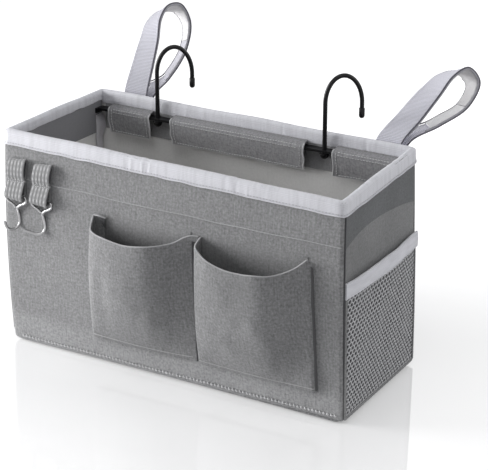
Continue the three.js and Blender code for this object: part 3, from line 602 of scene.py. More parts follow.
def build_walls():
    """The outer cloth, the boards in it and the lining."""
    heights = np.concatenate([[0.4, 0.8, 1.4, 2.2, EDGE], np.linspace(4.6, 198.9, 90)])
    # The foot of the cloth is tucked under, and the ends sink in at their upright seams.
    depth = between(heights, EDGE, 0)
    tuck = 2.4 * (1 - np.sqrt(1 - depth ** 2))
    for name, sign, cloth in (("front", -1, FRONT_LINEN_PAINTED_LIGHT), ("back", 1, LINEN)):
        path, outs = rounded_plan(HX, HY, EDGE, 2.0)
        keep = path[:, 1] * sign > HY - EDGE - 0.01
        path, outs = path[keep], outs[keep]
        order = np.argsort(path[:, 0] * -sign)
        path, outs = path[order], outs[order]
        grid = path - outs * tuck[:, None, None]
        grid[..., 2] = heights[:, None]
        made = sheet(soften(grid - outs * CLOTH / 2), CLOTH)
        piece(f"{name}_cloth", made, cloth, node=f"{name}_panel")
    reach, gap, seam, sink = HY - EDGE, 0.25, 4.0, 0.7
    ys = np.linspace(-reach + gap, reach - gap, 70)
    edge = between(np.abs(ys), reach - seam, reach - gap) ** 2 * sink
    # A darker band below the rim of each end, with an arched lower edge.
    crown, low, high = -25, 164.5, 188.0
    for name, sign in SIDES:
        grid = wall_grid(0, sign * (HX - CLOTH / 2 - edge - tuck[:, None]), ys * sign, heights)
        piece(f"{name}_cloth", sheet(soften(grid), CLOTH), END_CLOTH, node=f"{name}_panel")
        y, level = np.meshgrid(np.linspace(-HY + 3.6, HY - 3.6, 70) * sign, np.linspace(0, 1, 24))
        arch = 10 * (np.maximum(y - crown, 0) / 85) ** 2 + 9 * (np.minimum(y - crown, 0) / 45) ** 2
        foot = low - arch
        band = xyz(sign * (HX + 0.2), y, foot + (high - foot) * level)
        piece(f"{name}_top_band", sheet(soften(band), 0.4), END_BAND)
    piece("bottom_cloth", floor_sheet(HX - 2.2, HY - 2.2, 0.6, CLOTH), LINEN, node="bottom_panel")
    made = floor_sheet(INNER_X - 0.3, INNER_Y - 0.3, 1.9, LINED[1])
    piece("floor_lining", made, FLOOR_LINING, "bottom_lining")
    levels = np.linspace(1.5, 198.6, 60)
    for name, axis, sign in (("front", 1, -1), ("back", 1, 1), ("left", 0, -1), ("right", 0, 1)):
        wall, way, count = ((HX, sign, 50), (HY, -sign, 110))[axis]
        halves = ((63.5, INNER_Y - 0.4), (159, INNER_X + 0.3))[axis]
        layers = []
        for half, (depth, thickness) in zip(halves, (STIFFENER, LINED)):
            grid = wall_grid(axis, sign * (wall - depth), np.linspace(-half, half, count) * way, levels)
            layers.append(sheet(soften(grid), thickness))
        piece(f"{name}_stiffener", layers[0], BOARD, f"{name}_board")
        cloth = SIDE_LINING if name == "right" else LINING
        piece(f"{name}_lining_cloth", layers[1], cloth, f"{name}_lining")


def inner_end_band():
    """Darker band inside the left end, between the rim and the pale lining."""
    place = -(HX - sum(LINED))
    band = wall_grid(0, place, np.linspace(-63.5, 63.5, 60), np.linspace(161.0, BAND_TOP + 1, 16))
    y, z = band[..., 1], band[..., 2]
    band[..., 2] = z + ripple(y, 0 * y, 60, 111) * 0.5 * (z < 170)
    piece("left_inner_band", sheet(soften(band), 0.7), SIDE_LINING)


def build_binding():
    """Tape folded over the rim, puckered along its seams."""
    middle = (HX - INNER_X) / 2
    path, outs = rounded_plan(HX - middle, HY - middle, EDGE, 1.0)
    length = len(path)
    s = np.arange(length) * 1.0

    def around(wave, seed):
        rng = np.random.default_rng(seed)
        total = np.zeros(length)
        for _ in range(8):
            cycles = max(round(length / (wave * rng.uniform(0.6, 1.7))), 1)
            total += np.sin(2 * pi * cycles * s / length + rng.uniform(0, 2 * pi))
        return total / 8 ** 0.5

    gather = np.clip(0.25 + 0.4 * around(90, 21), 0.08, 1.0)
    pucker = around(5.5, 22) * gather
    folds = around(13, 23) * gather
    crest = around(80, 24) * 0.35
    hem_out = around(40, 25) * 0.3
    hem_in = around(22, 26) * 0.4
    # The tape's section, from its outer hem over the rim to its inner one: [distance out, height].
    over = [(3.4 * cos(a), 197.2 + 2.8 * sin(a)) for a in np.linspace(0.15, pi - 0.15, 11)]
    outer = [(3.3, 187.0), (3.5, 187.6), (3.55, 189.5), (3.45, 192.0), (3.4, 194.5), *over]
    outer += [(-3.4, 194.5), (-3.45, 192.0), (-3.55, 190.0), (-3.5, 188.6), (-3.3, 188.0)]
    inner = [(n * (1 - 0.8 / 3.5), min(z, 199.2) if abs(n) < 3.3 else z) for n, z in outer][::-1]
    # Outside, the tape squares its corners; inside the left end, its hem lies higher.
    square = 1 + 0.75 * (1 / np.maximum(np.abs(outs[:, 0]), np.abs(outs[:, 1])) - 1)
    narrow = 3.2 * between(outs[:, 0], 0, -1)
    rows = []
    for k, (n, z) in enumerate(outer + inner):
        drop = between(z, 197.0, 187.0)
        slack = 0.3 if k >= len(outer) else 0.45 if n > 0 else 1.0
        bulge = (0.30 * pucker * (0.4 + drop) + 0.26 * folds) * slack
        sag = crest * (1 - drop) + (hem_out if n > 0 else hem_in) * drop
        out = n + np.sign(n) * bulge * min(abs(n) / 3.0, 1)
        ring = path + outs * (out * (square if n > 0 else 1))[:, None]
        ring[:, 2] = z + sag + (bulge * 0.5 if abs(n) < 3.0 else 0) + (narrow * drop if n < 0 else 0)
        rows.append(ring)
    verts = soften(np.array(rows)).reshape(-1, 3)
    faces = (grid_faces(len(rows) + 1, length) % len(verts))[:, ::-1].tolist()
    place = np.stack([np.repeat(np.arange(len(rows)) * 1.4, length), np.tile(s, len(rows))], -1)
    piece("rim_tape", (verts, faces, place), BINDING, "rim_binding")

    def hem_line(shift, z):
        """A closed line round the rim, outside or inside it."""
        line = path + outs * np.broadcast_to(shift * (square if shift > 0 else 1), length)[:, None]
        line[:, 2] = z + (hem_out if shift > 0 else hem_in + narrow)
        return soften(np.vstack([line, line[:1]]))

    piece("rim_welt", tube(hem_line(3.85, 187.3), 0.42), WHITE_THREAD)
    closed = np.vstack([outs, outs[:1]])
    for name, sign, z, thread in (("outer", 1, 188.9, THREAD), ("inner", -1, 191.6, WHITE_THREAD)):
        seam = stitches(hem_line(3.75 * sign, z), closed * sign, 1.6, 1.5)
        piece(f"rim_seam_{name}", seam, thread)


def front_line(x0, x1, z, lift):
    return soften(xyz(np.linspace(x0, x1, 300), -HY - lift, z))


def build_front_seams():
    """The seam below the rim, the overcast foot and dark tubes down the upright edges: painted shadow."""
    band = front_line(-163.5, 163.5, 157.8, 0.4)
    band[:, 2] += ripple(band[:, 0], 0, 70, 31) * 0.5
    band[:, 2] += np.interp(band[:, 0], [-165, -60, 60, 165], [1.2, 0.0, 0.2, 1.8])
    piece("front_band_ridge", tube(band + [0, 0.3, 0], 0.45), HEM)
    piece("front_band_seam", stitches(band, FORWARD, 2.2, 1.5), THREAD)
    foot = front_line(-154, 162, 5.0, 0.5)
    piece("front_foot_seam", stitches(foot, FORWARD, 1.8, 1.6, 1.6, 1.1), FOOT_THREAD)
    # Dark tubes down the front's upright edges: painted shadow along the corner seams.
    for side, sign in SIDES:
        line = xyz(sign * (HX + 0.3), -HY + 2.9, np.linspace(6, 186, 200))
        piece(f"front_{side}_edge_painted_shadow", tube(soften(line), 0.75), EDGE_SHADOW)


# Each pocket's hem and foot, from the wall at the left to the wall at the right: [x, out, z], [x, out].
POCKET_HEM = {
    "left": [
        (-63.5, 0.5, 139.3), (-68.5, 1.2, 141.2), (-72.4, 2.4, 141.6), (-72.4, 7, 136.4),
        (-70.2, 12.4, 131.4), (-64, 16, 129.8), (-54, 19.6, 129.4), (-30, 23, 128.6), (-11, 22, 131),
        (1, 16, 132.4), (11.3, 8.4, 134.7), (19.6, 4, 139.6), (25.5, 1.8, 141.8), (31.5, 0.5, 141.8),
    ],
    "right": [
        (33.4, 0.3, 141.4), (34, 6, 139.8), (35.4, 12.4, 137.6), (41, 15.6, 133.8), (50, 19.6, 130.6),
        (66, 22.6, 127.5), (82.6, 23.4, 126.8), (97, 23.4, 128.2), (106, 20.8, 128.6), (115.4, 13.4, 130),
        (125.5, 7.6, 135), (132, 5.4, 140.4), (135.6, 4, 143.5), (137.6, 2.2, 141.6), (138.2, 0.4, 139),
    ],
}
POCKET_SEWN = {
    "left": [
        (-62, 0.3), (-68, 0.5), (-73, 0.8), (-77, 1.6), (-78.2, 2.4), (-74, 2.8), (-58, 2.8),
        (-34, 2.6), (-14, 2.2), (0, 1.9), (12, 1.5), (20, 1.1), (25, 0.8), (29.5, 0.3),
    ],
    "right": [
        (35.5, 0.2), (31.8, 1.4), (30.6, 2.2), (35, 2.8), (47, 2.8), (63, 2.6), (82, 2.6), (97, 2.6),
        (106, 2.6), (116, 2.7), (129, 3), (137.5, 3.4), (141.2, 3.5), (142.8, 2), (143.4, 0.4),
    ],
}
# The hem's point at the pleat's fold, and the reach of the sheet with painted shade in the pocket's mouth.
POCKET_FOLD = {"left": 4, "right": 2}
POCKET_BACKING = {"left": (-66.0, 24.0), "right": (37.0, 134.0)}
# A raw corner of the left pocket's hem, turned over at the wall: [x, out, z].
POCKET_TUCK = [(-71.8, 3.0, 141.6), (-67.0, 3.6, 141.9), (-61.0, 2.6, 140.6)]
TUCK_POINT = (-62.6, -HY - 2.2, 131.4)


def pocket_grid(hem, sewn, front, seed):
    """Slack cloth from a pocket's foot to its hem, with its belly fullest at the right."""
    column, last = np.arange(len(hem)), len(hem) - 1
    fade = 2 * POCKET_STEPS
    loose = between(column, front, front + fade) * between(column, last, last - fade)
    fullness = np.interp(column, [front, last], [2.0, 3.2])
    rows = []
    for level in np.linspace(0, 1, 64):
        x, _, z = (sewn + (hem - sewn) * level).T
        out = sewn[:, 1] + (hem - sewn)[:, 1] * (1 - (1 - level) ** fullness)
        soft = ripple(x, z, 46, 41 + seed) * 0.7 + ripple(x, z, 17, 51 + seed) * 0.2
        out = out + soft * loose * sin(pi * min(level, 0.9))
        rows.append(xyz(x, -HY - out, z))
    return on_front(rows)


def build_pockets():
    """Cloth pockets: a pleat at the left, a slack mouth and a side that falls back to the wall."""
    for index, side in enumerate(POCKET_HEM):
        name = f"pocket_{side}"
        hem = spline(POCKET_HEM[side], POCKET_STEPS)
        sewn = spline([(x, out, POCKET_FOOT) for x, out in POCKET_SEWN[side]], POCKET_STEPS)
        front = POCKET_FOLD[side] * POCKET_STEPS
        grid = pocket_grid(hem, sewn, front, index)
        thick = np.full(grid.shape[:2], POCKET_CLOTH_THICK)
        thick[-3:] = POCKET_HEM_THICK
        cloth = piece(f"{name}_cloth", sheet(grid, thick), POCKET_CLOTH, node=name)
        bound = grid[-1] if side == "left" else grid[-1, :-2 * POCKET_STEPS + 2]
        piece(f"{name}_hem", tube(bound + [0, 0, 0.15], 0.75), HEM)
        line = grid[2, front + 4:-POCKET_STEPS - 2] + [0, -0.8, 0]
        seam = joined(tube(line + [0, 0.3, 0], 0.35), stitches(line, (0, -1, 0.2), 2.4, 1.2))
        piece(f"{name}_foot_seam", seam, THREAD)
        if side == "left":
            # A lighter tube along the left pocket's fold: painted highlight on its lit edge.
            piece(f"{name}_fold", tube(grid[1:-2, front] + [-0.1, -0.1, 0], 0.55), HEM)
            tuck = curve([(x, -HY - out, z) for x, out, z in POCKET_TUCK], 30)
            piece(f"{name}_tuck", tube(on_front(tuck), 0.7), HEM)
            shares = np.linspace(0, 0.98, 12)[:, None, None]
            under = tuck[10:] * (1 - shares) + np.array(TUCK_POINT) * shares
            piece(f"{name}_tuck_shade", sheet(on_front(under), 0.3), EDGE_SHADOW)
        else:
            # A dark tube in the gap left of the right pocket's fold: painted shadow.
            t = np.linspace(0, 1, 60)
            gap = xyz(28.6 - 1.4 * t, -HY - 1.8 - 1.0 * t, 25.5 + 112 * t)
            piece(f"{name}_fold", tube(on_front(gap), 0.95), EDGE_SHADOW)
            # A dark sheet over the right pocket's side, where it turns back to the wall: painted shade.
            flank = grid[1:-2, -POCKET_STEPS - 4:] + [0.7, -0.15, 0]
            piece(f"{name}_return", sheet(flank, 0.4), RETURN_PAINTED_SHADE)
        # A sheet on the wall in the pocket's mouth, painted darker towards its foot: painted shade.
        xs = np.linspace(*POCKET_BACKING[side], 60)
        back = wall_grid(1, -HY - 0.18, xs, np.linspace(108.0, 145.0, 24))
        piece(f"{name}_back", sheet(on_front(back), 0.3), POCKET_PAINTED_SHADE[side])


def net_stand(y, z):
    """How far the net stands off the end wall."""
    across = 1 - np.abs(np.clip(y / NET_HALF, -1, 1)) ** 4
    return 2.6 * across * np.sin(between(z, 2, NET_TOP) * pi / 2)


def honeycomb():
    """Flat points [y, z] and faces of a net's strands, each cell a ring about its opening."""
    pitch, tip, strand, foot = 5.2, 1.2, 0.62, 3.6
    reach = int(NET_HALF / pitch) + 1
    cells = []
    for row in range(int((NET_TOP - 2) / (3 * tip)) + 1):
        for column in range(-reach, reach + 1):
            y, z = (column + 0.5 * (row % 2)) * pitch, foot + row * 3 * tip
            if abs(y) <= NET_HALF - 1.2 and z <= NET_TOP + 1:
                cells.append((y, z))
    corners = np.array([(0, 2), (-0.5, 1), (-0.5, -1), (0, -2), (0.5, -1), (0.5, 1)]) * [pitch, tip]
    hole = corners * (1 - strand / (pitch / 2))
    points = (np.array(cells)[:, None] + np.vstack([corners, hole])).reshape(-1, 2)
    _, first, index = np.unique(np.round(points * 50), axis=0, return_index=True, return_inverse=True)
    k = np.arange(6)
    n = (k + 1) % 6
    strands = np.stack([n, k, k + 6, n + 6], -1)
    return points[first], index.reshape(-1, 12)[:, strands].reshape(-1, 4)


def build_net():
    """Knitted net: a honeycomb of flat strands, bowed off the end wall towards its mouth."""
    flat, quads = honeycomb()
    count = len(flat)
    edges = {edge for quad in quads.tolist() for edge in zip(quad, quad[1:] + quad[:1])}
    walls = [(a, b, b + count, a + count) for a, b in sorted(edges) if (b, a) not in edges]
    gap, strand = 0.35, 0.8
    base = xyz(HX + gap + net_stand(*flat.T), *flat.T)
    verts = np.concatenate([on_right(base + [strand, 0, 0]), on_right(base)])
    faces = np.concatenate([quads[:, ::-1], quads + count, walls]).tolist()
    made = verts, faces, np.concatenate([flat, flat])
    piece("net_cloth", made, NET, "mesh_pocket", crease=30)
    # A dark sheet on the end wall behind the net: painted shade of the net.
    ground = wall_grid(0, HX + 0.18, np.linspace(-NET_HALF, NET_HALF, 50), np.linspace(3.0, NET_TOP + 2, 40))
    piece("net_painted_shade", sheet(on_right(ground), 0.3), NET_PAINTED_SHADE)
    side = NET_HALF + 0.4
    run = resampled([(-side, NET_TOP), (-side, 2.4), (side, 2.4), (side, NET_TOP)], 1.5)
    inward = run * [0.965, 1.0]
    inward[:, 1] = np.maximum(inward[:, 1], 5.0)
    rows = [xyz(HX + 1.2 + net_stand(*line.T), *line.T) for line in (run, (run + inward) / 2, inward)]
    piece("net_edging", sheet(on_right(rows), 0.9), END_CLOTH)


def build_net_tape():
    """The tape along the net's mouth, sewn near both its edges."""
    ys = np.linspace(-NET_HALF - 0.6, NET_HALF + 0.4, 90)
    y, z = np.meshgrid(ys, np.linspace(NET_TOP + 0.3, NET_TOP + NET_TAPE, 12))
    flare = between(y, 50, NET_HALF) ** 2 * 1.2
    roll = np.sin((z - NET_TOP) / NET_TAPE * pi) * 0.5
    x = HX + 1.4 + net_stand(y, np.full_like(y, NET_TOP)) + flare + roll + ripple(y, z, 24, 61) * 0.25
    grid = on_right(xyz(x, y, z + ripple(y, 0 * y, 60, 62) * 0.5))
    piece("net_tape", sheet(grid, 1.6), BINDING, "mesh_pocket_binding")
    for name, row in (("low", 1), ("high", -2)):
        seam = stitches(grid[row] + [1.0, 0, 0], (1, 0, 0), 2.0, 1.2, 0.45)
        piece(f"net_tape_seam_{name}", seam, WHITE_THREAD)


# A flap of the channel seen from its end, from the wall over the bar to its hem: [y, z].
FLAP_PROFILE = [
    (64.0, BAND_TOP + 1.2), (61.6, 190.2), (58.0, 189.7), (55.6, 188.8), (54.5, 187.0),
    (54.6, 183.6), (55.4, 178.0), (56.8, 171.5), (58.4, 165.4),
]


def build_facings():
    """The channel that hides the bar, its backing, and the band inside the front."""
    profile = curve([(0, *point) for point in FLAP_PROFILE], 56)
    edges = [-FLAP_HALF, *[x for window in WINDOWS for x in window], FLAP_HALF + 6.0]
    for index, side in enumerate(("left", "middle", "right")):
        name = f"facing_{side}"
        x0, x1 = edges[2 * index:2 * index + 2]
        xs = np.linspace(x0, x1, max(int((x1 - x0) / 1.6), 12))
        near = np.minimum(xs - x0, x1 - xs)
        end = np.where(xs - x0 < x1 - xs, -1, 1) * np.exp(-near / 6.0)
        x, y, z = (np.array(part) for part in np.broadcast_arrays(xs, profile[:, 1:2], profile[:, 2:]))
        hang = between(z, 184, 164)
        y -= hang * (0.2 + 0.3 * ripple(x, z, 34, 71 + index))
        y -= np.exp(-near / 2.5) * hang * 0.5
        x = x + end * ripple(z, 0 * z, 16, 81 + index) * 0.7
        z = z + ripple(x, 0 * x, 40, 91 + index) * 0.35 * hang
        grid = xyz(x, y, z)[::-1]
        cloth = piece(name, sheet(grid, 0.8), FACING_PAINTED_SHADE_TOP, node=f"back_{name}")
        columns = len(xs)
        off = normals(grid)
        face = grid + off * 0.5
        rows = [(face[row, 3:columns - 3], off[row, columns // 2]) for row in (3, 35, 39)]
        rows += [(face[3:42, column], off[20, column]) for column in (2, columns - 3)]
        seams = [stitches(line, out, 2.2, 0.6) for line, out in rows]
        piece(f"{name}_seam", joined(*seams), FOOT_THREAD)
        hems = [tube(grid[:44, column], 0.75) for column in (0, -1)]
        piece(f"{name}_hem", joined(*hems, tube(grid[0], 0.5)), FACING_HEM)
    xs = np.linspace(-155, 155, 140)
    backing = wall_grid(1, INNER_Y - 0.55, xs, np.linspace(165.5, BAND_TOP + 1, 20))
    piece("bar_backing", sheet(backing, 0.8), BACKING, node="rail_backing")
    band = wall_grid(1, 0.45 - INNER_Y, -xs, np.linspace(158.7, BAND_TOP + 1, 20))
    piece("front_inner_band", sheet(soften(band), 0.8), FACING_PAINTED_SHADE_TOP, node="front_facing")


def build_corner_tapes():
    """Upright tapes in the two back corners, slack below the bar."""
    low, top, near, wide = 5.6, 181.2, 54.4, 9.8
    y, z = np.meshgrid(np.linspace(near, near + wide, 7), np.linspace(low, top, 60))
    slack = np.sin(between(z, top, top - 23.0) * pi)
    lift = ripple(z, y, 35, 101) * 0.4 + 0.5 + slack * (0.3 + 3.6 * (y - near) / wide)
    for side, sign in SIDES:
        grid = xyz(sign * (INNER_X - 0.8 - lift), y, z)
        made = sheet(grid if sign > 0 else grid[:, ::-1], 0.7)
        piece(f"corner_ribbon_{side}", made, RIBBON, f"corner_tape_{side}")


def rail_route(x):
    """A rail hook's wire: up from the bar, over and down to its free end."""
    foot, bend, end, half, rise, yaw = 180.4, 228.6, 219.6, 16, 25, radians(35)
    arc = np.linspace(pi, 0, 48)
    up = np.linspace(foot, bend, 25)[:-1]
    down = np.linspace(bend, end, 9)[1:]
    out = np.concatenate([0 * up, half + half * np.cos(arc), 0 * down + 2 * half])
    z = np.concatenate([up, bend + rise * np.sin(arc), down])
    return xyz(x + out * cos(yaw), BAR_Y + out * sin(yaw), z)


def dome(width, height, bore, depth):
    """Half the section of a domed cap, round below, with a bore in its top."""
    radius, rim = width / 2, 0.5
    cap = [(radius * sin(a), radius * (1 - cos(a))) for a in np.linspace(0.04, pi / 2, 14)]
    top = [(radius, height - rim), (radius - 0.15, height - 0.15), (radius - rim, height)]
    return cap + top + [(bore / 2, height), (bore / 2, height - depth), (0.05, height - depth)]


def build_rail_hooks():
    """Wire hooks with nuts and end caps, and the finish of the bar and the base board."""
    angles = np.linspace(0, 2 * pi, 41)
    for side, x in HOOK_X.items():
        body = f"rail_hook_{side}_body"
        route = rail_route(x)
        wire = tube(route, RAIL_WIRE, 24)
        piece(f"rail_wire_{side}", wire, BLACK_STEEL, f"rail_hook_{side}", body)
        radius = NUT[0] / 2
        ridge = xyz(x + radius * np.cos(angles), BAR_Y + radius * np.sin(angles), NUT_FOOT + 4.8)
        nut = joined(lathe(dome(*NUT), (x, BAR_Y, NUT_FOOT)), tube(ridge, 0.22))
        piece(f"rail_nut_{side}", nut, BLACK_CAP, f"hook_nut_{side}", body, 60)
        cap = lathe(dome(*CAP), (*route[-1, :2], CAP_FOOT))
        piece(f"rail_cap_{side}", cap, BLACK_CAP, f"hook_tip_{side}", body, 60)
    for name, finish in (("rail_bar", BLACK_STEEL), ("base_board", FLOOR_LINING)):
        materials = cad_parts[name].data.materials
        materials.clear()
        materials.append(finish)
    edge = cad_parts["rail_bar"].modifiers.new("worn_edge", "BEVEL")
    edge.width, edge.segments = 0.6 * MM, 2


# A tab's two loops seen from its side: [distance out of the front, height].
TAB_LOOPS = [
    [(1.5, 158.3), (0.8, 161), (0.7, 168), (0.9, 175.2), (2.4, 177.2), (4.4, 176.6), (5.9, 172.4),
     (6.2, 167), (5, 161.6), (3.1, 158.5)],
    [(3.1, 156.8), (4.2, 154.8), (5.8, 151), (7.2, 146.8), (7.5, 143.6), (6.6, 141), (4.8, 140.1),
     (2.7, 141.3), (1.5, 145), (1.1, 152), (1.5, 156.6)],
]
# At a tab's foot, waist and top: how far it lies to the right, and how far its right edge stands higher.
TAB_HEIGHTS = (140.0, 157.5, 175.0)
TAB_SHIFT = {"left": (0.2, 1.4, 3.6), "right": (-0.6, 1.0, 4.2)}
TAB_TILT = (-0.8, 1.2, 2.2)


def tab_loop(side, outline, upper):
    """One loop of ribbed webbing, and a dark sheet in the hollow of its right end: painted shade."""
    x = TAB_X[side]
    xs = np.linspace(-TAB_HALF, TAB_HALF, 75)[:, None]
    ribs = np.cos(xs * 2 * pi / TAB_RIB) * 0.06
    ring = curve([(0, *p) for p in [*outline, outline[0]]], 73)[:-1, 1:]
    away = unit(np.roll(ring, -1, 0) - np.roll(ring, 1, 0))[:, ::-1] * [1, -1]
    centre = ring.mean(0)
    away *= np.where(np.sum(away * (ring - centre), 1) < 0, -1, 1)[:, None]
    along = arc_length(ring)
    along = along[-1] - along if upper else along
    beat = 1 - 0.5 * np.cos(along * 2 * pi / TAB_DASH)
    profile = ring + away * ribs[..., None] * beat[:, None]
    shift = np.interp(ring[:, 1], TAB_HEIGHTS, TAB_SHIFT[side])
    tilt = np.interp(ring[:, 1], TAB_HEIGHTS, TAB_TILT)
    rise = profile[..., 1] + xs / TAB_HALF / 2 * tilt
    grid = xyz(x + xs + shift, -HY - TAB_STAND - profile[..., 0], rise)
    loop = sheet(on_front(grid[:, ::-1] if upper else grid), 1.1, True)
    # A dark sheet inside the loop's right end: painted shade in its hollow.
    inside = centre + (ring - centre) * np.array([0.74, 0.4, 0.05])[:, None, None]
    rise = np.maximum(inside[..., 1], 145.4)
    end = x + TAB_HALF - 1.2 + np.interp(rise, TAB_HEIGHTS, TAB_SHIFT[side])
    lift = np.interp(rise, TAB_HEIGHTS, TAB_TILT) / 2
    hollow = xyz(end, -HY - TAB_STAND - inside[..., 0], rise + lift)
    return loop, sheet(on_front(hollow), 0.3, True)


def build_tabs():
    """Webbing tabs: an upper and a lower loop, pinched between them by a row of stitches."""
    for side, x in TAB_X.items():
        made = [tab_loop(side, outline, outline is TAB_LOOPS[0]) for outline in TAB_LOOPS]
        middle, slope = x + TAB_SHIFT[side][1], 0.6 / TAB_HALF
        gx, gz = np.meshgrid(np.linspace(-TAB_HALF, TAB_HALF, 30), np.linspace(155.5, 159.5, 8))
        pinch = ((gz - TAB_HEIGHTS[1]) / 2.0) ** 2 * 0.5
        waist = sheet(on_front(xyz(middle + gx, -HY - 2.2 - pinch, gz + gx * slope)), 2.6)
        # The dark sheets in the loops' hollows: painted shade.
        piece(f"tab_hollow_painted_shade_{side}", joined(*[hollow for _, hollow in made]), EDGE_SHADOW)
        web = joined(*[loop for loop, _ in made], waist)
        piece(f"tab_web_{side}", web, WEBBING, f"tab_loop_{side}", crease=35)
        a = np.linspace(-8.8, 8.8, 40)
        lines = [on_front(xyz(middle + a, -HY - 3.9, z + a * slope)) for z in (156.7, 158.4)]
        threads = [stitches(line, FORWARD, 1.7, 0.7) for line in lines]
        piece(f"tab_seam_{side}", joined(*threads), FOOT_THREAD)


def build_small_hooks():
    """Bright wire hooks: a bail through the tab's loop, and a stem that ends in a crook."""
    y, z = -HY - TAB_STAND - 4.5, 142.4
    half, bend, round_x, round_z, radius = TAB_HALF + 0.3 + 1.1, 2.2, 4.5, -23.7, 7
    arc = np.linspace(pi / 2, 0, 10)
    right = [(half - bend + bend * cos(a), -bend + bend * sin(a)) for a in arc]
    left = [(-a, b) for a, b in right[::-1]]
    ends = [(-1.1, -10.6), (-3.6, -8.4), (-8.2, -6.2), (-half, -4.0)]
    outline = ends + left + right + [(-a, b) for a, b in ends[::-1]]
    for side, yaw, sweep, reach in SMALL_HOOKS:
        x = TAB_X[side]
        bail = resampled([(x + a, y, z + b) for a, b in outline], 0.6)
        sideways, forward = -sin(radians(yaw)), -cos(radians(yaw))
        finish = pi + radians(sweep)
        sweeps = np.linspace(pi, finish, 9)
        crook = [(round_x + radius * cos(a), round_z + radius * sin(a)) for a in sweeps]
        tip = (crook[-1][0] - reach * sin(finish), crook[-1][1] + reach * cos(finish))
        stem = [(0.0, -9.4), (-0.8, -13.2), (-1.9, -18.4), *crook, tip]
        wire = curve([(x + a * sideways, y + a * forward, z + b) for a, b in stem], 90)
        girth = np.where(np.arange(90) > 87, 1.1, SMALL_WIRE)
        shape = joined(tube(bail, SMALL_WIRE, 14), tube(wire, girth, 14))
        node = f"accessory_hook_{side}"
        piece(f"small_hook_{side}", shape, NICKEL, node, f"{node}_body")


# A strap's loop seen from its side, from where it rises to where it falls: [distance back, height].
STRAP_LOOP = {
    "left": [(2, 1), (21, 26), (36, 46), (48, 65), (64, 75), (81, 72), (86, 54), (69, 29), (37, 9), (14, 0)],
    "right": [(2.5, 0), (25, 16), (47, 33), (66, 48), (84, 52), (95, 37), (80, 18), (46, 7), (13, 0)],
}
# A loop's yaw and roll, and the roll of its tape where it rises, in degrees.
STRAP_TURN = {"left": (10.0, 22.0, 8.0), "right": (25.0, 10.0, -7.0)}
# The shares of the loop's length between which its tape twists, and the way across it at its crown and fall.
STRAP_SHARE = [0.0, 0.07, 0.25, 0.47, 0.74, 0.86, 0.97, 1.0]
STRAP_TWIST = {
    "left": [(0.68, -0.51, 0.52), (0.66, -0.73, 0.17)],
    "right": [(0.75, -0.49, 0.43), (0.61, -0.78, 0.11)],
}


def strap_frame(side):
    """The strap's right edge, its way across and its way inwards, at even steps."""
    yaw, roll, rise = (radians(a) for a in STRAP_TURN[side])
    sine, cosine = sin(yaw), cos(yaw)
    back = np.array([sine, cosine, 0.0])
    across, face = (np.array([cosine * cos(a), -sine * cos(a), sin(a)]) for a in (roll, rise))
    up = np.cross(across, back)
    edge = np.array([STRAP_X[side] + STRAP_WIDE / 2, HY + STRAP_STAND, HEIGHT])
    root = edge - [0, 0, 12.5]
    points = [root, *[edge + back * u + up * v for u, v in STRAP_LOOP[side]], root + [0, 4.0, 0]]
    line = curve(points, STRAP_STEPS)
    crown, fall = STRAP_TWIST[side]
    level = (1.0, 0, 0)
    ways = np.array([level, level, face, crown, fall, fall, level, level])
    share = np.linspace(0, 1, STRAP_STEPS)
    reach = 7
    smooth = np.ones(2 * reach + 1) / (2 * reach + 1)
    eased = []
    for way in ways.T:
        padded = np.pad(np.interp(share, STRAP_SHARE, way), reach, mode="edge")
        eased.append(np.convolve(padded, smooth, mode="valid"))
    wide = unit(np.stack(eased, -1))
    return line, wide, unit(np.cross(unit(np.gradient(line, axis=0)), wide))


def strap_grid(side, inset, trim, first=0.0, last=1.0):
    """A slightly cupped layer of the strap between two shares of its length."""
    keep = slice(int(first * STRAP_STEPS), int(last * STRAP_STEPS) + 1)
    line, wide, thick = (part[keep, None] for part in strap_frame(side))
    across = np.linspace(-STRAP_WIDE + trim, -trim, 15)[:, None]
    half = STRAP_WIDE / 2
    cup = (1 - ((across + half) / half) ** 2) * 0.35
    swing = np.sin(np.linspace(0, pi, len(line)))[:, None, None]
    return line + wide * across + thick * inset + thick * cup * swing


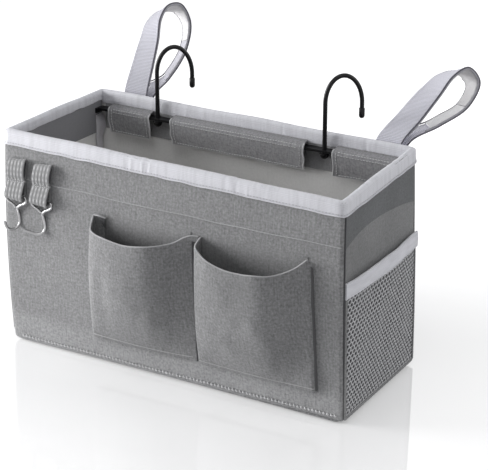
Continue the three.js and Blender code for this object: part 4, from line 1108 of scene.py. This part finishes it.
def build_straps():
    """Twisted loops of tape with a fleece and dark edges, and their patches."""
    for side, x in STRAP_X.items():
        body = f"strap_{side}_body"
        grid = strap_grid(side, 0.0, 0.0)
        made = sheet(grid, 1.0)
        band = piece(f"strap_band_{side}", made, STRAP_PAINTED_LIGHT[side], f"strap_{side}", body)
        pile = strap_grid(side, 1.75, 1.2, 9 / 60, 39 / 60)
        made = sheet(pile, 1.1 + np.random.default_rng(7).normal(0, 0.12, pile.shape[:2]))
        piece(f"strap_fleece_{side}", made, PILE, f"strap_pile_{side}", body)
        catch = strap_grid(side, 1.55, 1.2, 39.3 / 60, 50 / 60)
        piece(f"strap_catch_{side}", sheet(catch, 1.0), CATCH_PAINTED_LIGHT[side], body=body)
        line, _, thick = strap_frame(side)
        flank = line[:, None] + thick[:, None] * np.linspace(0.7, 2.1, 5)[:, None]
        piece(f"strap_side_{side}", sheet(flank[20:-30], 0.9), STRAP_SIDE, body=body)
        inner = strap_grid(side, 1.9, 0.7, 0.5, 0.96)[:, 0]
        made = joined(tube(grid[:, -1], 0.75), tube(inner, 0.6))
        piece(f"strap_edging_{side}", made, STRAP_EDGE, body=body)
        off = normals(grid)
        face, middle = grid + off * 0.55, off[STRAP_STEPS // 2]
        seams = [stitches(face[:, column], middle[column], 2.0, 1.2, 0.4) for column in (1, -2)]
        piece(f"strap_seam_{side}", joined(*seams), WHITE_THREAD, body=body)
        xs = x + np.linspace(12, -12, 16)
        patch, wall = (wall_grid(1, y, xs, np.linspace(152.7, 186.7, 24)) for y in (HY + 0.8, HY))
        patch[..., 1] += np.maximum(soften(wall)[..., 1] - HY, 0)
        made = sheet(patch, 1.0)
        piece(f"strap_base_{side}", made, STRAP_PAINTED_LIGHT[side], f"strap_patch_{side}")
        corners = patch[[2, 2, -3, -3, 2, -3, -3, 2], [2, -3, -3, 2, 2, -3, 2, -3]] + [0, 0.7, 0]
        threads = [stitches([a, b], (0, 1, 0), 2.2, 0.9, 0.45) for a, b in zip(corners, corners[1:])]
        piece(f"strap_base_seam_{side}", joined(*threads), WHITE_THREAD)


def build_floor():
    """A pale floor with a faint mirror that fades away from the box."""
    size = 6.0
    mesh = bpy.data.meshes.new("floor")
    corners = [(x * size, y * size, 0) for x, y in ((-1, -1), (1, -1), (1, 1), (-1, 1))]
    mesh.from_pydata(corners, [], [range(4)])
    floor = added("floor", mesh)
    floor.location.z = -0.0012
    s = Surface("pale_floor")
    rays = s.node("LightPath").outputs
    seen = s.math("MAXIMUM", rays["Is Camera Ray"], rays["Is Glossy Ray"])
    away = s.vector("ABSOLUTE", s.node("TexCoord").outputs["Object"])[0]
    past = s.vector("SUBTRACT", away, (HX * MM, HY * MM, 0))[0]
    far = s.vector("LENGTH", s.vector("MAXIMUM", past, (0, 0, 0))[0])["Value"]
    # The floor's glow is weaker near the box, so the floor is darker round it: painted shade.
    glow = s.math("MULTIPLY", seen, s.span(far, 0.5, 0.68, 0.12, 0.5))
    s.set(Base_Color=(0.75, 0.75, 0.755, 1.0), Roughness=0.9, Specular_IOR_Level=0.0)
    s.set(Emission_Color=(1.0, 1.0, 1.0, 1.0), Emission_Strength=glow)
    mirror = s.node("BsdfGlossy", {"Roughness": 0.03}).outputs[0]
    both = s.node("MixShader", {0: s.span(far, 0.35, 0.0, 0.0, 0.36), 1: s.shader.outputs[0], 2: mirror})
    s.put(s.tree.nodes["Material Output"].inputs["Surface"], both.outputs[0])
    mesh.materials.append(s.material)


def build_light():
    """A white world that lights the box only a little, and four lamps."""
    world = bpy.data.worlds.new("studio")
    bpy.context.scene.world = world
    world.use_nodes = True
    sky = Nodes(world.node_tree)
    rays = sky.node("LightPath").outputs
    seen = sky.math("MAXIMUM", rays["Is Camera Ray"], rays["Is Glossy Ray"])
    seen = sky.math("MAXIMUM", seen, rays["Is Transmission Ray"])
    light = sky.tree.nodes["Background"]
    sky.put(light.inputs["Color"], (0.95, 0.97, 1.0, 1.0))
    sky.put(light.inputs["Strength"], 0.18)
    white = sky.node("Background", {"Color": (1, 1, 1, 1), "Strength": 1.0})
    both = sky.node("MixShader", {0: seen, 1: light.outputs[0], 2: white.outputs[0]})
    sky.put(sky.tree.nodes["World Output"].inputs["Surface"], both.outputs[0])
    target = Vector((0, 0, 0.1))
    for name, place, power, wide in (
        ("key", (-1.24, -0.48, 0.36), 25, 0.7),
        ("top", (0.0, -0.55, 1.45), 5.2, 0.9),
        ("fill", (1.2, 0.2, 0.8), 5, 0.8),
        ("back", (0.2, 1.35, 0.8), 5, 0.9),
    ):
        data = bpy.data.lights.new(name, "AREA")
        data.energy, data.size = power, wide
        lamp = added(name, data)
        lamp.location = place
        lamp.rotation_euler = (target - Vector(place)).to_track_quat("-Z", "Y").to_euler()


def build_camera():
    """The camera at the photograph's angle and distance, with its lens in pixels."""
    azimuth, elevation, far = radians(30.30), radians(22.32), 1.559
    lens, photo_width, sensor = 1758.0, 488, 36.0
    target = Vector((0.0207, 0.0206, 0.108))
    flat = cos(elevation)
    back = Vector((sin(azimuth) * flat, -cos(azimuth) * flat, sin(elevation)))
    data = bpy.data.cameras.new("camera")
    data.sensor_width = sensor
    data.lens = lens / photo_width * sensor
    camera = added("camera", data)
    camera.location = target + back * far
    camera.rotation_euler = back.to_track_quat("Z", "Y").to_euler()
    bpy.context.scene.camera = camera
    bpy.context.scene.view_settings.view_transform = "Standard"


build_walls()
inner_end_band()
build_binding()
build_front_seams()
build_pockets()
build_net()
build_net_tape()
build_facings()
build_corner_tapes()
build_rail_hooks()
build_tabs()
build_small_hooks()
build_straps()
build_floor()
build_light()
build_camera()
